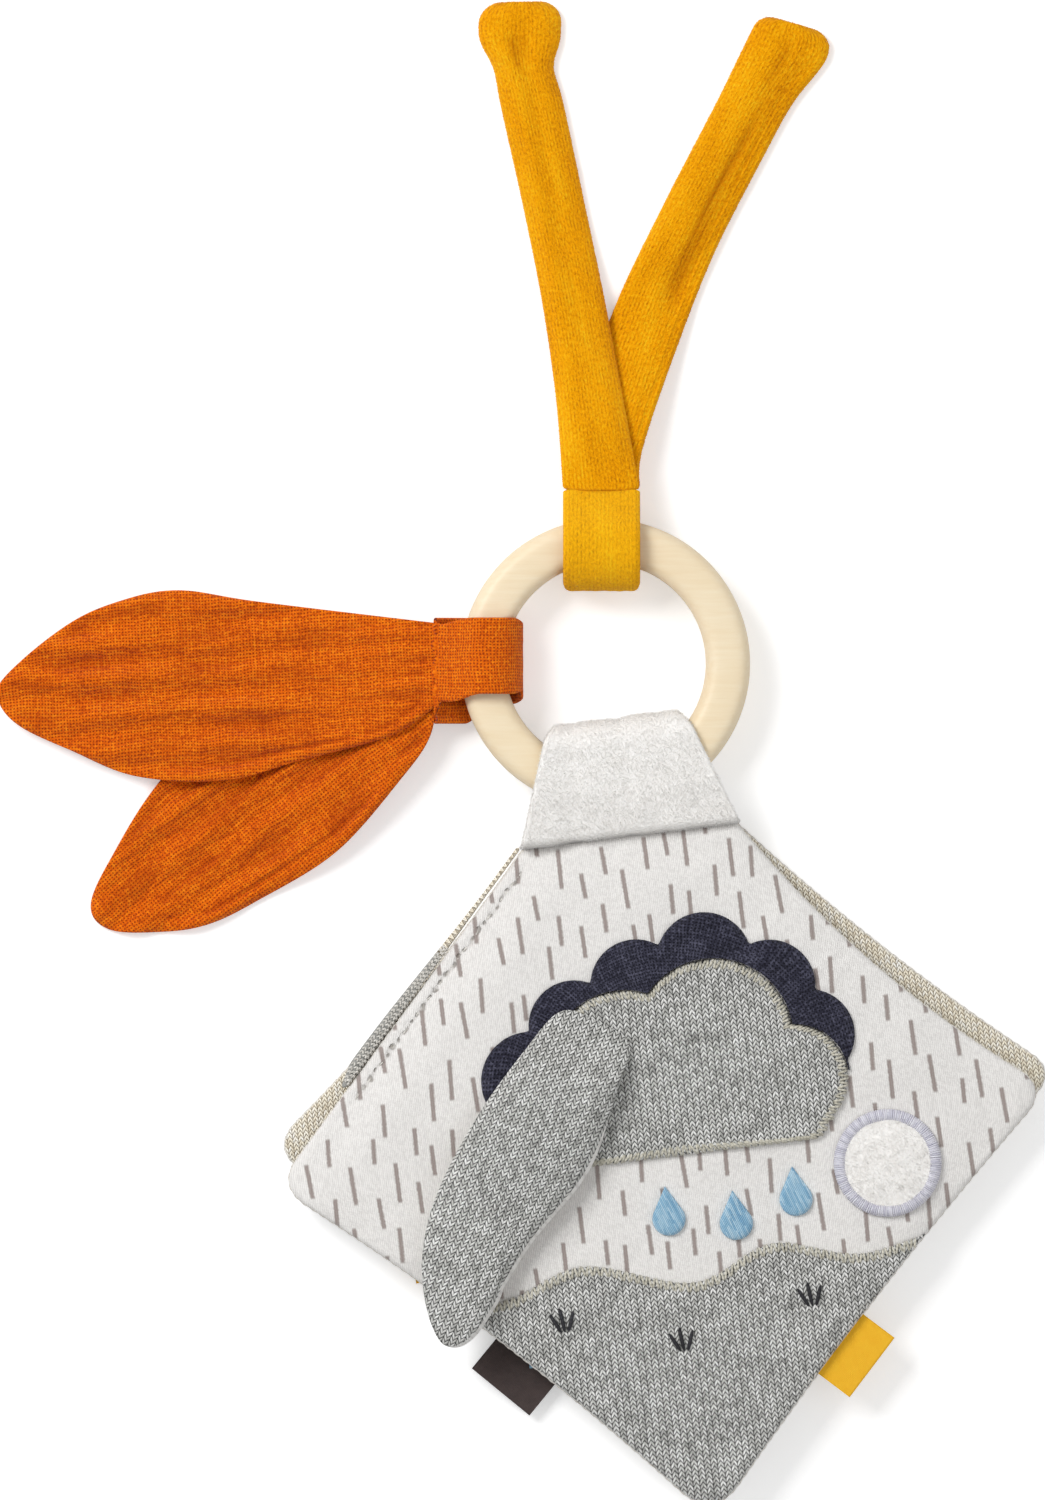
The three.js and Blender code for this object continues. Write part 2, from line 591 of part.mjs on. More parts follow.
// Muslin leaves, in the ring's frame: folds run along each leaf and fade out at the neck
const leafStart = muslinBore.pivot + muslinNeck + clearance;
const leafFade = (x) => smooth((-x - leafStart) / dropRun);
const folds = (x, across, shift) => (
  foldHeight * leafFade(x) * (0.5 + 0.5 * Math.sin((2 * Math.PI * (across + shift)) / foldPitch))
);
const lowerLeafBase = ringHeight - clearance / 2 - muslinPly;
const lowerLeafFloor = (x) => lowerLeafBase + (lowest - lowerLeafBase) * leafFade(x);
const lowerLeafHeight = (x, y, across) => lowerLeafFloor(x) + folds(x, across, 0);
const upperLeafHeight = (x, y, across) => lowerLeafFloor(x) + muslinPly + clearance
  + foldHeight * leafFade(x) + folds(x, across, 2);
const muslinLeaf = (name, points, tipAngle, length, spread, height) => {
  const outline = new THREE.SplineCurve(points.map(([x, y]) => new THREE.Vector2(x - leafStart, y)));
  const angle = THREE.MathUtils.degToRad(tipAngle);
  const slab = clothSlab(new THREE.Vector2(10 - leafStart, muslinSide), angle, new THREE.Vector2(length, spread),
    [20, Math.round((4 * spread) / foldPitch)], muslinPly, height);
  const plan = prism(outline.getPoints(44));
  piece(name, toGeometry(slab.intersect(plan)), colours.orange, ringGroup);
};
muslinLeaf('muslin_leaf_lower', [
  [0, -9.7], [-1.5, -18], [-7.8, -27.2], [-23.8, -45.3], [-43.3, -57.4], [-55, -63], [-66, -64.8],
  [-79, -64.2], [-83.4, -58], [-77.6, -45.3], [-68, -30], [-52, -12], [-28, 2], [0, 8.5],
], 217, 135, 76, lowerLeafHeight);
muslinLeaf('muslin_leaf_upper', [
  [0, -10.2], [-11, -17.4], [-32.7, -23.4], [-51, -28.2], [-72.3, -27.2], [-88, -21], [-100.3, -15.2],
  [-105.6, -9.1], [-104, -3], [-89.7, 9], [-76.9, 15], [-62.3, 17.8], [-42.6, 15], [0, 9.8],
], 183, 130, 66, upperLeafHeight);

export default part;
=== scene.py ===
"""Cloth book on a wooden ring: the soft pieces, materials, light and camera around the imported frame.

Lengths are in millimetres in the book's own frame (turned by TILT) or in the ring's frame, and
become metres in the row frame when a mesh is made.
"""
import math

import bpy
import numpy as np
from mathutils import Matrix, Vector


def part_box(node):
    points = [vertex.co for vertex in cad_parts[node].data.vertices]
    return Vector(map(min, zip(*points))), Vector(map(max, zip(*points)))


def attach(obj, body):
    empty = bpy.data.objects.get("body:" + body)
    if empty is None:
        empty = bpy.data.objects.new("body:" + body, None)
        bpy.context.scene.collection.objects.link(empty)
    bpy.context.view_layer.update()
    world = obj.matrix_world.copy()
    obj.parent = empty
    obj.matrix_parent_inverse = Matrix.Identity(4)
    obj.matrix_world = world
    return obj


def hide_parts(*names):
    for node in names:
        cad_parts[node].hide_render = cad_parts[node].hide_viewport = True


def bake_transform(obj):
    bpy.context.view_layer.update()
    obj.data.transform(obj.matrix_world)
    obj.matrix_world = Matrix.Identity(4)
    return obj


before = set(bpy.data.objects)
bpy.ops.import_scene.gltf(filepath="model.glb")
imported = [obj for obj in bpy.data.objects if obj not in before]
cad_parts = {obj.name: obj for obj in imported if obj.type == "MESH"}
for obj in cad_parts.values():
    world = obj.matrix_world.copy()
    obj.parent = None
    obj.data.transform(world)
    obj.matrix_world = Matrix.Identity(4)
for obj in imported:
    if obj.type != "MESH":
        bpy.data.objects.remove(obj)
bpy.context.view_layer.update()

# Sizes that the solids have too
TILT = math.radians(7)
CLEARANCE = 0.3
HALF_GAP = 0.15
TOP_EDGE = 71.0
FABRIC = 1.0
BACK_SEAM, FRONT_SEAM = 3.0, 10.6
PANEL_RISE, CROWN_RISE, RIM_RISE = 2.85, 0.6, 0.9
ROLL_WIDTH, APOTHEM, PADDING_INSET = 24.0, 64.0, 5.0
SPINE_HEIGHT, SPINE_REACH, SPINE_LENGTH = 7.2, 1.8, 72.0
PINCH_WIDTH, BACK_PINCH, FRONT_PINCH = 15.0, 0.9, -2.3
GATHER_LINE, GATHER_PITCH = 4.6, 2.45
APPLIQUE = 1.2
LEAF_CENTRE = np.array([0.0, -7.0])
RING_RADIUS, RING_BAND, RING_THICKNESS, RING_EDGE = 29.6, 10.75, 9.0, 3.5
TAB_PLY, TAB_NECK, TAB_NECK_HEIGHT, TAB_LENGTH = 1.5, 5.9, 3.1, 28.1
TAB_HALF_WIDTH, TAB_FOLD_HALF_WIDTH, TAB_CORNER = 26.6, 16.7, 5.0
CHANNEL_RADIUS = 5.2
STRAP_PLY, STRAP_HALF_WIDTH, STRAP_SIDE, STRAP_SLACK, STRAP_NECK = 2.6, 9.3, -0.9, 1.4, 13.0
MUSLIN_PLY, MUSLIN_HALF_WIDTH, MUSLIN_SIDE, MUSLIN_NECK = 1.3, 10.4, 0.7, 12.4
FOLD_HEIGHT, FOLD_PITCH, DROP_RUN, LOWEST = 1.4, 8.5, 46.0, 0.3
ARM_PARTING, ARM_SETTLE = 43.0, 24.0
FLAP_ANGLE = math.radians(239.1)
FLAP_END = np.array([-12.7, 27.1])
FLAP_RIM, FLAP_BELLY, FLAP_CROWN = 1.0, 2.6, 3.4

# The fibres of each pile: how many, how long and how thick
MOON_FIBRES, TAB_FIBRES = (9000, 0.7, 0.055), (40000, 0.8, 0.05)
STRAP_FIBRES, ARM_FIBRES = (3300, 0.45, 0.07), (15000, 0.6, 0.07)

ring_low, ring_high = (np.array(p) * 1000 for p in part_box("wooden_ring"))
RING_CENTRE = (ring_low + ring_high) / 2
RING_HEIGHT = float(RING_CENTRE[2])


# Frames and small sums
def from_book(points):
    p = np.asarray(points, float)
    c, s = math.cos(TILT), math.sin(TILT)
    return np.stack([p[..., 0] * c - p[..., 1] * s, p[..., 0] * s + p[..., 1] * c, p[..., 2]], -1)


def from_ring(points):
    p = np.array(points, float)
    p[..., :2] += RING_CENTRE[:2]
    return p


def metres(point, frame_of=from_book):
    return tuple(float(v) / 1000 for v in frame_of(np.array(point, float)))


def smooth(t):
    t = np.clip(t, 0, 1)
    return t * t * (3 - 2 * t)


def quarter(t):
    """The height of a quarter circle: 0 at 0, 1 from 1 on."""
    return np.sqrt(1 - (1 - np.clip(t, 0, 1)) ** 2)


def bell(x, middle, width):
    return np.exp(-((x - middle) / width) ** 2)


def bezier(a, b, c, t):
    return (1 - t) ** 2 * a + 2 * t * (1 - t) * b + t * t * c


def unit(v):
    return v / np.maximum(np.linalg.norm(v, axis=-1, keepdims=True), 1e-6)


def run_of(path):
    """How far along the path each of its points is."""
    return np.concatenate([[0], np.cumsum(np.linalg.norm(np.diff(path, axis=0), axis=1))])


def xyz(x, y, z):
    return np.stack(np.broadcast_arrays(x, y, z), -1)


def waves(x, y, size, seed, count=7, stretch=1.0):
    """Smooth unevenness of about unit height, from a few waves of about the given size."""
    draw = np.random.default_rng(seed)
    total = 0
    for _ in range(count):
        angle = draw.uniform(0, 2 * math.pi)
        pitch = 2 * math.pi / (size * draw.uniform(0.7, 1.5))
        phase = draw.uniform(0, 2 * math.pi)
        total = total + np.sin(pitch * (x * math.cos(angle) + y * math.sin(angle) / stretch) + phase)
    return total / math.sqrt(count)


# Meshes
made = {}


def make(name, points, faces, materials, cloth=None, frame_of=from_book, which=None, upper=None):
    """Upper is how many of the first faces are on the outer side, where a pile can grow."""
    made[name] = (np.asarray(points, float), faces[:upper], frame_of, cloth)
    mesh = bpy.data.meshes.new(name)
    mesh.from_pydata((frame_of(points) / 1000).tolist(), [], [tuple(f) for f in faces])
    for material in materials:
        mesh.materials.append(material)
    if which is not None:
        mesh.polygons.foreach_set("material_index", np.asarray(which, np.int32))
    mesh.polygons.foreach_set("use_smooth", np.ones(len(mesh.polygons), bool))
    if cloth is not None:
        layer = mesh.attributes.new("cloth", "FLOAT_VECTOR", "POINT")
        layer.data.foreach_set("vector", np.asarray(cloth, np.float32).ravel())
    mesh.validate()
    mesh.update()
    piece = bpy.data.objects.new(name, mesh)
    bpy.context.scene.collection.objects.link(piece)
    return piece


def flat_points(*layers):
    return np.concatenate([np.asarray(layer, float).reshape(-1, 3) for layer in layers])


def band_faces(rings, count, closed=False):
    """Four-sided faces between rings of points."""
    i = np.arange(count)
    n = (i + 1) % count
    a = np.arange(rings if closed else rings - 1)[:, None] * count
    b = (a + count) % (rings * count)
    return np.stack([a + i, a + n, b + n, b + i], -1).reshape(-1, 4)


def fan_faces(first, count, middle):
    i = np.arange(count)
    return np.stack([first + i, first + (i + 1) % count, np.full(count, middle)], 1)


def disc_faces(rings, count, offset, flip):
    """Faces of rings of points from a rim inwards, with one more point in the middle."""
    order = slice(None, None, -1) if flip else slice(None)
    fan = offset + fan_faces((rings - 1) * count, count, rings * count)
    return [*(offset + band_faces(rings, count))[:, order], *fan[:, order]]


def disc_shell(name, top, bottom, materials, cloth, frame_of=from_book, under=0):
    """A closed piece between two dished surfaces: (rings, count, 3) from the rim inwards."""
    rings, count = top.shape[:2]
    layers = []
    for layer in (top, bottom):
        layers += [layer, layer[-1].mean(0, keepdims=True)]
    side = rings * count + 1
    faces = disc_faces(rings, count, 0, False)
    upper = len(faces)
    faces += disc_faces(rings, count, side, True)
    i = np.arange(count)
    n = (i + 1) % count
    faces.extend(np.stack([side + i, side + n, n, i], 1))
    which = np.zeros(len(faces), int)
    which[upper:] = under
    cloths = []
    for _ in range(2):
        cloths += [cloth, cloth[-1].mean(0, keepdims=True)]
    return make(name, flat_points(*layers), faces, materials, flat_points(*cloths), frame_of, which, upper)


def grid_shell(name, top, bottom, material, cloth, frame_of=from_book):
    """A closed piece between two grids of points (rows, columns, 3)."""
    rows, columns = top.shape[:2]
    layer = rows * columns
    at = np.arange(layer).reshape(rows, columns)
    a, b, c, d = at[:-1, :-1], at[:-1, 1:], at[1:, 1:], at[1:, :-1]
    quads = np.stack([a, b, c, d], -1).reshape(-1, 4)
    faces = list(quads) + list(quads[:, ::-1] + layer)
    upper = len(quads)
    for line in (at[0, ::-1], at[-1], at[:, 0], at[::-1, -1]):
        faces.extend(np.stack([line[:-1], line[1:], line[1:] + layer, line[:-1] + layer], 1)[:, ::-1])
    both = flat_points(cloth, cloth)
    return make(name, flat_points(top, bottom), faces, [material], both, frame_of, upper=upper)


def pile(name, source, count, length, radius, material, lay, seed, lowest_normal=-0.3, above=0):
    """Short fibres that stand on a piece's outer side, each a slim closed cone of three sides."""
    points, faces, frame_of, source_cloth = made[source]
    corners = np.array([list(f[:3]) for f in faces] + [[f[0], f[2], f[3]] for f in faces if len(f) == 4])
    a, b, c = (points[corners[:, k]] for k in range(3))
    normal = np.cross(b - a, c - a)
    area = np.linalg.norm(normal, axis=1)
    keep = (area > 1e-9) & (normal[:, 2] > lowest_normal * area) & (a[:, 2] >= above)
    a, b, c, normal, area = a[keep], b[keep], c[keep], normal[keep], area[keep]
    normal = normal / area[:, None]
    rng = np.random.default_rng(seed)
    pick = rng.choice(len(area), count, p=area / area.sum())
    r1, r2 = np.sqrt(rng.random(count))[:, None], rng.random(count)[:, None]
    foot = a[pick] * (1 - r1) + b[pick] * r1 * (1 - r2) + c[pick] * r1 * r2
    on_cloth = [source_cloth[corners[keep][pick, k]] for k in range(3)]
    cloth = on_cloth[0] * (1 - r1) + on_cloth[1] * r1 * (1 - r2) + on_cloth[2] * r1 * r2
    way = unit(normal[pick] + lay + rng.normal(0, 0.35, (count, 3)))
    side = unit(np.cross(way, rng.normal(0, 1, (count, 3))))
    other = np.cross(way, side)
    turn = np.radians([0, 120, 240])
    rim = foot[:, None] - normal[pick][:, None] * 0.1 + radius * (
        side[:, None] * np.cos(turn)[None, :, None] + other[:, None] * np.sin(turn)[None, :, None])
    tip = foot + way * (length * rng.uniform(0.55, 1.15, (count, 1)))
    cones = np.concatenate([rim, tip[:, None]], 1).reshape(-1, 3)
    cones[:, 2] = np.maximum(cones[:, 2], 0.02)
    base = 4 * np.arange(count)[:, None]
    sides = np.concatenate([base + np.array(f) for f in ((0, 1, 3), (1, 2, 3), (2, 0, 3), (2, 1, 0))])
    return make(name, cones, sides, [material], np.repeat(cloth, 4, 0), frame_of)


def threads(name, starts, ends, radius, material, arch, frame_of=from_book, sides=6, steps=5, surface=None):
    """Many short stitches, each a tapered thread that arches a little or follows a surface."""
    starts, ends = np.asarray(starts, float), np.asarray(ends, float)
    along = ends - starts
    length = np.linalg.norm(along, axis=1, keepdims=True)
    across = unit(np.cross(along / length, [0, 0, 1.0]))
    up = np.cross(across, along / length)
    t = np.linspace(0, 1, steps)
    fat = np.sqrt(np.clip(1 - (2 * t - 1) ** 4, 0.06, 1))
    lift = arch * (1 - (2 * t - 1) ** 2)
    angle = np.linspace(0, 2 * math.pi, sides, endpoint=False)
    spot = starts[:, None, None] + along[:, None, None] * t[None, :, None, None]
    if surface is not None:
        spot[..., 2] = surface(spot[..., 0], spot[..., 1], t[None, :, None])
    across, up = across[:, None, None], up[:, None, None]
    ringed = across * np.cos(angle)[:, None] + up * np.sin(angle)[:, None]
    points = spot + ringed * (radius * fat)[:, None, None] + up * lift[:, None, None]
    count = len(starts)
    base = np.arange(count)[:, None] * steps * sides
    i = np.arange(sides)
    quads = (base[:, :, None] + band_faces(steps, sides)[None]).reshape(-1, 4)
    faces = [*quads, *(base + i[::-1]), *(base + (steps - 1) * sides + i)]
    shape = (count, steps, sides)
    cloth = xyz(np.broadcast_to((length * t)[..., None], shape), np.arange(count)[:, None, None], 0)
    return make(name, points.reshape(-1, 3), faces, [material], cloth.reshape(-1, 3), frame_of)


def tube(name, path, radius, material, frame_of=from_book, sides=10, closed=False, twist=0.0, lobes=0):
    """A cord along a path of points; lobes and twist give it the form of a plied thread."""
    path = np.asarray(path, float)
    ahead = np.roll(path, -1, 0) - np.roll(path, 1, 0)
    if not closed:
        ahead[0], ahead[-1] = path[1] - path[0], path[-1] - path[-2]
    ahead = unit(ahead)
    across = unit(np.cross(ahead, [0, 0, 1.0]))
    up = np.cross(across, ahead)
    run = run_of(path)
    turn = np.linspace(0, 2 * math.pi, sides, endpoint=False)[None] + 0 * run[:, None]
    radius = np.broadcast_to(radius, run.shape)
    size = radius[:, None] * (1 + (0.22 * np.cos(lobes * turn - twist * run[:, None]) if lobes else 0 * turn))
    if not closed:
        size *= np.sqrt(np.clip(np.minimum(run, run[-1] - run) / radius, 0.05, 1))[:, None]
    points = path[:, None] + size[..., None] * (
        across[:, None] * np.cos(turn)[..., None] + up[:, None] * np.sin(turn)[..., None])
    rows, i = len(path), np.arange(sides)
    faces = list(band_faces(rows, sides, closed))
    if not closed:
        faces += [i[::-1], (rows - 1) * sides + i]
    cloth = xyz(run[:, None], turn / math.pi, 0)
    return make(name, points.reshape(-1, 3), faces, [material], cloth.reshape(-1, 3), frame_of)


# Outlines
def rounded_outline(corners, step=1.2, corner_steps=14):
    """Corners are (x, y, rounding, bow of the next edge); the same rule as the solids'."""
    count = len(corners)
    spot = [np.array(c[:2], float) for c in corners]

    def cut(k):
        a = spot[(k - 1) % count] - spot[k]
        b = spot[(k + 1) % count] - spot[k]
        cosine = a @ b / (np.linalg.norm(a) * np.linalg.norm(b))
        return corners[k][2] / math.tan(math.acos(cosine) / 2)

    def curve(a, b, c, steps):
        return bezier(a, b, c, np.linspace(0, 1, steps, endpoint=False)[:, None])

    edges = []
    for i in range(count):
        j = (i + 1) % count
        along = (spot[j] - spot[i]) / np.linalg.norm(spot[j] - spot[i])
        start, end = spot[i] + along * cut(i), spot[j] - along * cut(j)
        outward = np.array([along[1], -along[0]])
        edges.append((start, (start + end) / 2 + outward * 2 * corners[i][3], end))
    points = []
    for i in range(count):
        if corners[i][2] > 0:
            points.append(curve(edges[i - 1][2], spot[i], edges[i][0], corner_steps))
        length = np.linalg.norm(edges[i][2] - edges[i][0])
        points.append(curve(*edges[i], max(1, int(length / step))))
    return np.concatenate(points), edges


def spline(points, count):
    """The curve through the points that the solids' outlines follow."""
    p = np.asarray(points, float)
    t = np.linspace(0, len(p) - 1, count)
    k = np.minimum(t.astype(int), len(p) - 2)
    w = (t - k)[:, None]
    p0, p1, p2 = p[np.maximum(k - 1, 0)], p[k], p[k + 1]
    p3 = p[np.minimum(k + 2, len(p) - 1)]
    v0, v1 = (p2 - p0) / 2, (p3 - p1) / 2
    return ((2 * p1 - 2 * p2 + v0 + v1) * w ** 3 + (-3 * p1 + 3 * p2 - 2 * v0 - v1) * w ** 2 + v0 * w + p1)


def resample(points, count, closed=False):
    p = np.asarray(points, float)
    if closed:
        p = np.concatenate([p, p[:1]])
    run = run_of(p)
    want = np.linspace(0, run[-1], count, endpoint=not closed)
    return np.stack([np.interp(want, run, p[:, k]) for k in range(p.shape[1])], 1)


def polar_reach(outline, centre):
    """The distance from the centre to a star-shaped outline, as a function of the angle."""
    rel = outline - centre
    angle = np.arctan2(rel[:, 1], rel[:, 0])
    order = np.argsort(angle)
    angle, reach = angle[order], np.linalg.norm(rel, axis=1)[order]
    angle = np.concatenate([angle - 2 * math.pi, angle, angle + 2 * math.pi])
    reach = np.tile(reach, 3)
    return lambda a: np.interp(a, angle, reach)


# Leaves
FRONT_CORNERS = [(-25.6, 71, 5, 0), (-94.4, -2.3, 7.5, -2.4), (0, -94.6, 9, -1.5), (91.6, -2.4, 6.5, -3.9),
                 (25.6, 71, 2, 0)]
BACK_CORNERS = [(-25.6, 71, 2, -1.9), (-94.4, 6.4, 7, -1.5), (0, -90, 9, -1), (94.6, 1.8, 6, -1.8),
                (25.6, 71, 2, 0)]
SPINE_TOP = np.array([-25.6, 71.0])
SPINE_ALONG = SPINE_TOP - np.array([-94.4, -2.3])
SPINE_ALONG /= np.linalg.norm(SPINE_ALONG)
SPINE_INWARD = np.array([SPINE_ALONG[1], -SPINE_ALONG[0]])
SPINE_START = SPINE_TOP - SPINE_INWARD * SPINE_REACH


def beside_spine(x, y):
    return (x - SPINE_START[0]) * SPINE_INWARD[0] + (y - SPINE_START[1]) * SPINE_INWARD[1]


class Leaf:
    """One leaf of the book: its outline, and how high its seam lies at each place."""

    def __init__(self, corners, seam, pinch, crown):
        self.outline, self.edges = rounded_outline(corners)
        self.reach = polar_reach(self.outline, LEAF_CENTRE)
        self.seam, self.pinch, self.crown = seam, pinch, crown

    def inset(self, x, y):
        dx, dy = x - LEAF_CENTRE[0], y - LEAF_CENTRE[1]
        return APOTHEM * (1 - np.hypot(dx, dy) / self.reach(np.arctan2(dy, dx)))

    def base(self, x, y):
        return self.seam + self.pinch * (1 - smooth(beside_spine(x, y) / PINCH_WIDTH))

    def rings(self, insets, count):
        ring = resample(self.outline, count, closed=True)
        share = 1 - np.asarray(insets)[:, None, None] / APOTHEM
        return LEAF_CENTRE + (ring - LEAF_CENTRE)[None] * share


def outer_rise(inset, crown):
    roll = RIM_RISE + (PANEL_RISE - RIM_RISE) * quarter(inset / ROLL_WIDTH)
    return roll + crown * smooth((inset - ROLL_WIDTH) / (APOTHEM - ROLL_WIDTH))


def inner_rise(inset, crown):
    return np.where(inset < PADDING_INSET, 0, outer_rise(inset, crown) - FABRIC)


front = Leaf(FRONT_CORNERS, FRONT_SEAM, FRONT_PINCH, CROWN_RISE)
back = Leaf(BACK_CORNERS, BACK_SEAM, BACK_PINCH, 0)


def spine_share(x, y, width=16.0):
    """1 on the sewn spine edge, 0 away from it and beyond its ends."""
    beside = beside_spine(x, y)
    down = (SPINE_TOP[0] - x) * SPINE_ALONG[0] + (SPINE_TOP[1] - y) * SPINE_ALONG[1]
    ends = smooth((down + 4) / 10) * smooth((SPINE_LENGTH + 8 - down) / 16)
    return (1 - smooth(beside / width)) * ends, down, beside


# Cloth solver
SOLVER_FRAMES, SOLVER_MASS, SOLVER_STIFFNESS, SOLVER_SHEAR, SOLVER_BENDING = 18, 0.15, 15, 5, 0.5
LEAF_PRESSURE, LEAF_SLACK, FLAP_PRESSURE, FLAP_SLACK = 16, 0.02, 24, 0.0


def settled(points, faces, sewn, pressure, slack):
    """Where filled cloth comes to rest, by Blender's cloth solver; sewn points stay in place."""
    mesh = bpy.data.meshes.new("trial")
    mesh.from_pydata((points / 1000).tolist(), [], [tuple(f) for f in faces])
    trial = bpy.data.objects.new("trial", mesh)
    scene = bpy.context.scene
    scene.collection.objects.link(trial)
    trial.vertex_groups.new(name="sewn").add(np.flatnonzero(sewn).tolist(), 1.0, "REPLACE")
    cloth = trial.modifiers.new("cloth", "CLOTH")
    cloth.collision_settings.use_collision = False
    cloth.point_cache.frame_end = SOLVER_FRAMES
    settings = cloth.settings
    settings.vertex_group_mass = "sewn"
    settings.mass = SOLVER_MASS
    settings.tension_stiffness = settings.compression_stiffness = SOLVER_STIFFNESS
    settings.shear_stiffness = SOLVER_SHEAR
    settings.bending_stiffness = SOLVER_BENDING
    settings.use_pressure = True
    settings.uniform_pressure_force = pressure
    settings.shrink_min = -slack
    settings.effector_weights.gravity = 0
    for step in range(1, SOLVER_FRAMES + 1):
        scene.frame_set(step)
    found = np.empty(len(points) * 3, np.float32)
    trial.evaluated_get(bpy.context.evaluated_depsgraph_get()).data.vertices.foreach_get("co", found)
    scene.frame_set(1)
    bpy.data.objects.remove(trial)
    bpy.data.meshes.remove(mesh)
    return found.reshape(-1, 3).astype(float) * 1000


def sample(field, row, column):
    """A value between the points of a field of rows and columns; the columns run round and join up."""
    row = np.clip(row, 0, len(field) - 1.001)
    r, c = row.astype(int), np.floor(column).astype(int)
    a, b = row - r, column - c
    width = field.shape[1]
    if field.ndim == 3:
        a, b = a[..., None], b[..., None]
    near = field[r, c % width] * (1 - b) + field[r, (c + 1) % width] * b
    far = field[r + 1, c % width] * (1 - b) + field[r + 1, (c + 1) % width] * b
    return near * (1 - a) + far * a


class Puckers:
    """How a padded leaf's cloth puckers once it is filled: the solver's result as a height over the leaf."""

    def __init__(self, leaf, count=220, rows=27, gain=0.45, most=0.8):
        self.leaf, self.insets = leaf, np.linspace(0, 62, rows)
        at = leaf.rings(self.insets, count)
        rise = 0.9 * outer_rise(self.insets, leaf.crown)
        start = np.dstack([at, np.broadcast_to(rise[:, None], at.shape[:2])]).reshape(-1, 3)
        start = np.concatenate([start, start[-count:].mean(0, keepdims=True)])
        sewn = np.arange(len(start)) < count
        rest = settled(start, disc_faces(rows, count, 0, False), sewn, LEAF_PRESSURE, LEAF_SLACK)
        height = (rest - start)[:-1, 2].reshape(rows, count)
        height -= height.mean(1, keepdims=True)
        angle = np.arctan2(*(at[0] - LEAF_CENTRE).T[::-1])
        order = np.argsort(angle)
        self.height = np.clip(gain * height, -most, most)[:, order]
        self.angle = angle[order]

    def __call__(self, x, y, inset):
        angle = np.arctan2(y - LEAF_CENTRE[1], x - LEAF_CENTRE[0])
        turns = np.concatenate([self.angle, [self.angle[0] + 2 * math.pi]])
        angle = np.where(angle < self.angle[0], angle + 2 * math.pi, angle)
        column = np.interp(angle, turns, np.arange(len(turns)))
        row = np.interp(inset, self.insets, np.arange(len(self.insets)))
        return sample(self.height, row, column)


front_puckers = Puckers(front)


def cover_unevenness(x, y, inset):
    """How the padded front cover departs from an even dome, in millimetres."""
    near, down, beside = spine_share(x, y)
    even = 0.16 * waves(x, y, 34, 3) + 0.06 * waves(x, y, 11, 4)
    pucker = front_puckers(x, y, inset)
    gather = near * 0.55 * np.exp(-np.clip(beside - 3, 0, 99) / 4.5) * np.sin(
        2 * math.pi * down / (2 * GATHER_PITCH) + 1.3 * np.sin(down / 7.0))
    hole = 0.5 + 0.5 * np.cos(2 * math.pi * (down - 5) / GATHER_PITCH)
    groove = near * -(0.6 + 1.0 * hole ** 3) * bell(beside, GATHER_LINE, 0.7)
    return even * smooth(inset / 8) + pucker + gather * smooth(inset / 2) + groove


def rim_round(inset):
    return 0.55 * (1 - quarter(inset))


def cover_height(x, y):
    inset = front.inset(x, y)
    rise = outer_rise(inset, front.crown) + cover_unevenness(x, y, inset) - rim_round(inset)
    return front.base(x, y) + HALF_GAP + rise


# Materials
def rgb(r, g, b):
    def linear(v):
        v /= 255
        return v / 12.92 if v <= 0.04045 else ((v + 0.055) / 1.055) ** 2.4
    return (linear(r), linear(g), linear(b), 1)


class Value:
    """A number that varies over a surface: a node's output, with arithmetic that adds more nodes."""

    def __init__(self, shade, socket):
        self.shade, self.socket = shade, socket

    def __add__(self, other):
        return self.shade.math("ADD", self, other)

    def __sub__(self, other):
        return self.shade.math("SUBTRACT", self, other)

    def __rsub__(self, other):
        return self.shade.math("SUBTRACT", other, self)

    def __mul__(self, other):
        return self.shade.math("MULTIPLY", self, other)

    def __truediv__(self, other):
        return self.shade.math("DIVIDE", self, other)

    def __abs__(self):
        return self.shade.math("ABSOLUTE", self)

    def floor(self):
        return self.shade.math("FLOOR", self)

    def ridges(self, pitch):
        return abs(self.shade.math("SINE", self * (math.pi / pitch)))


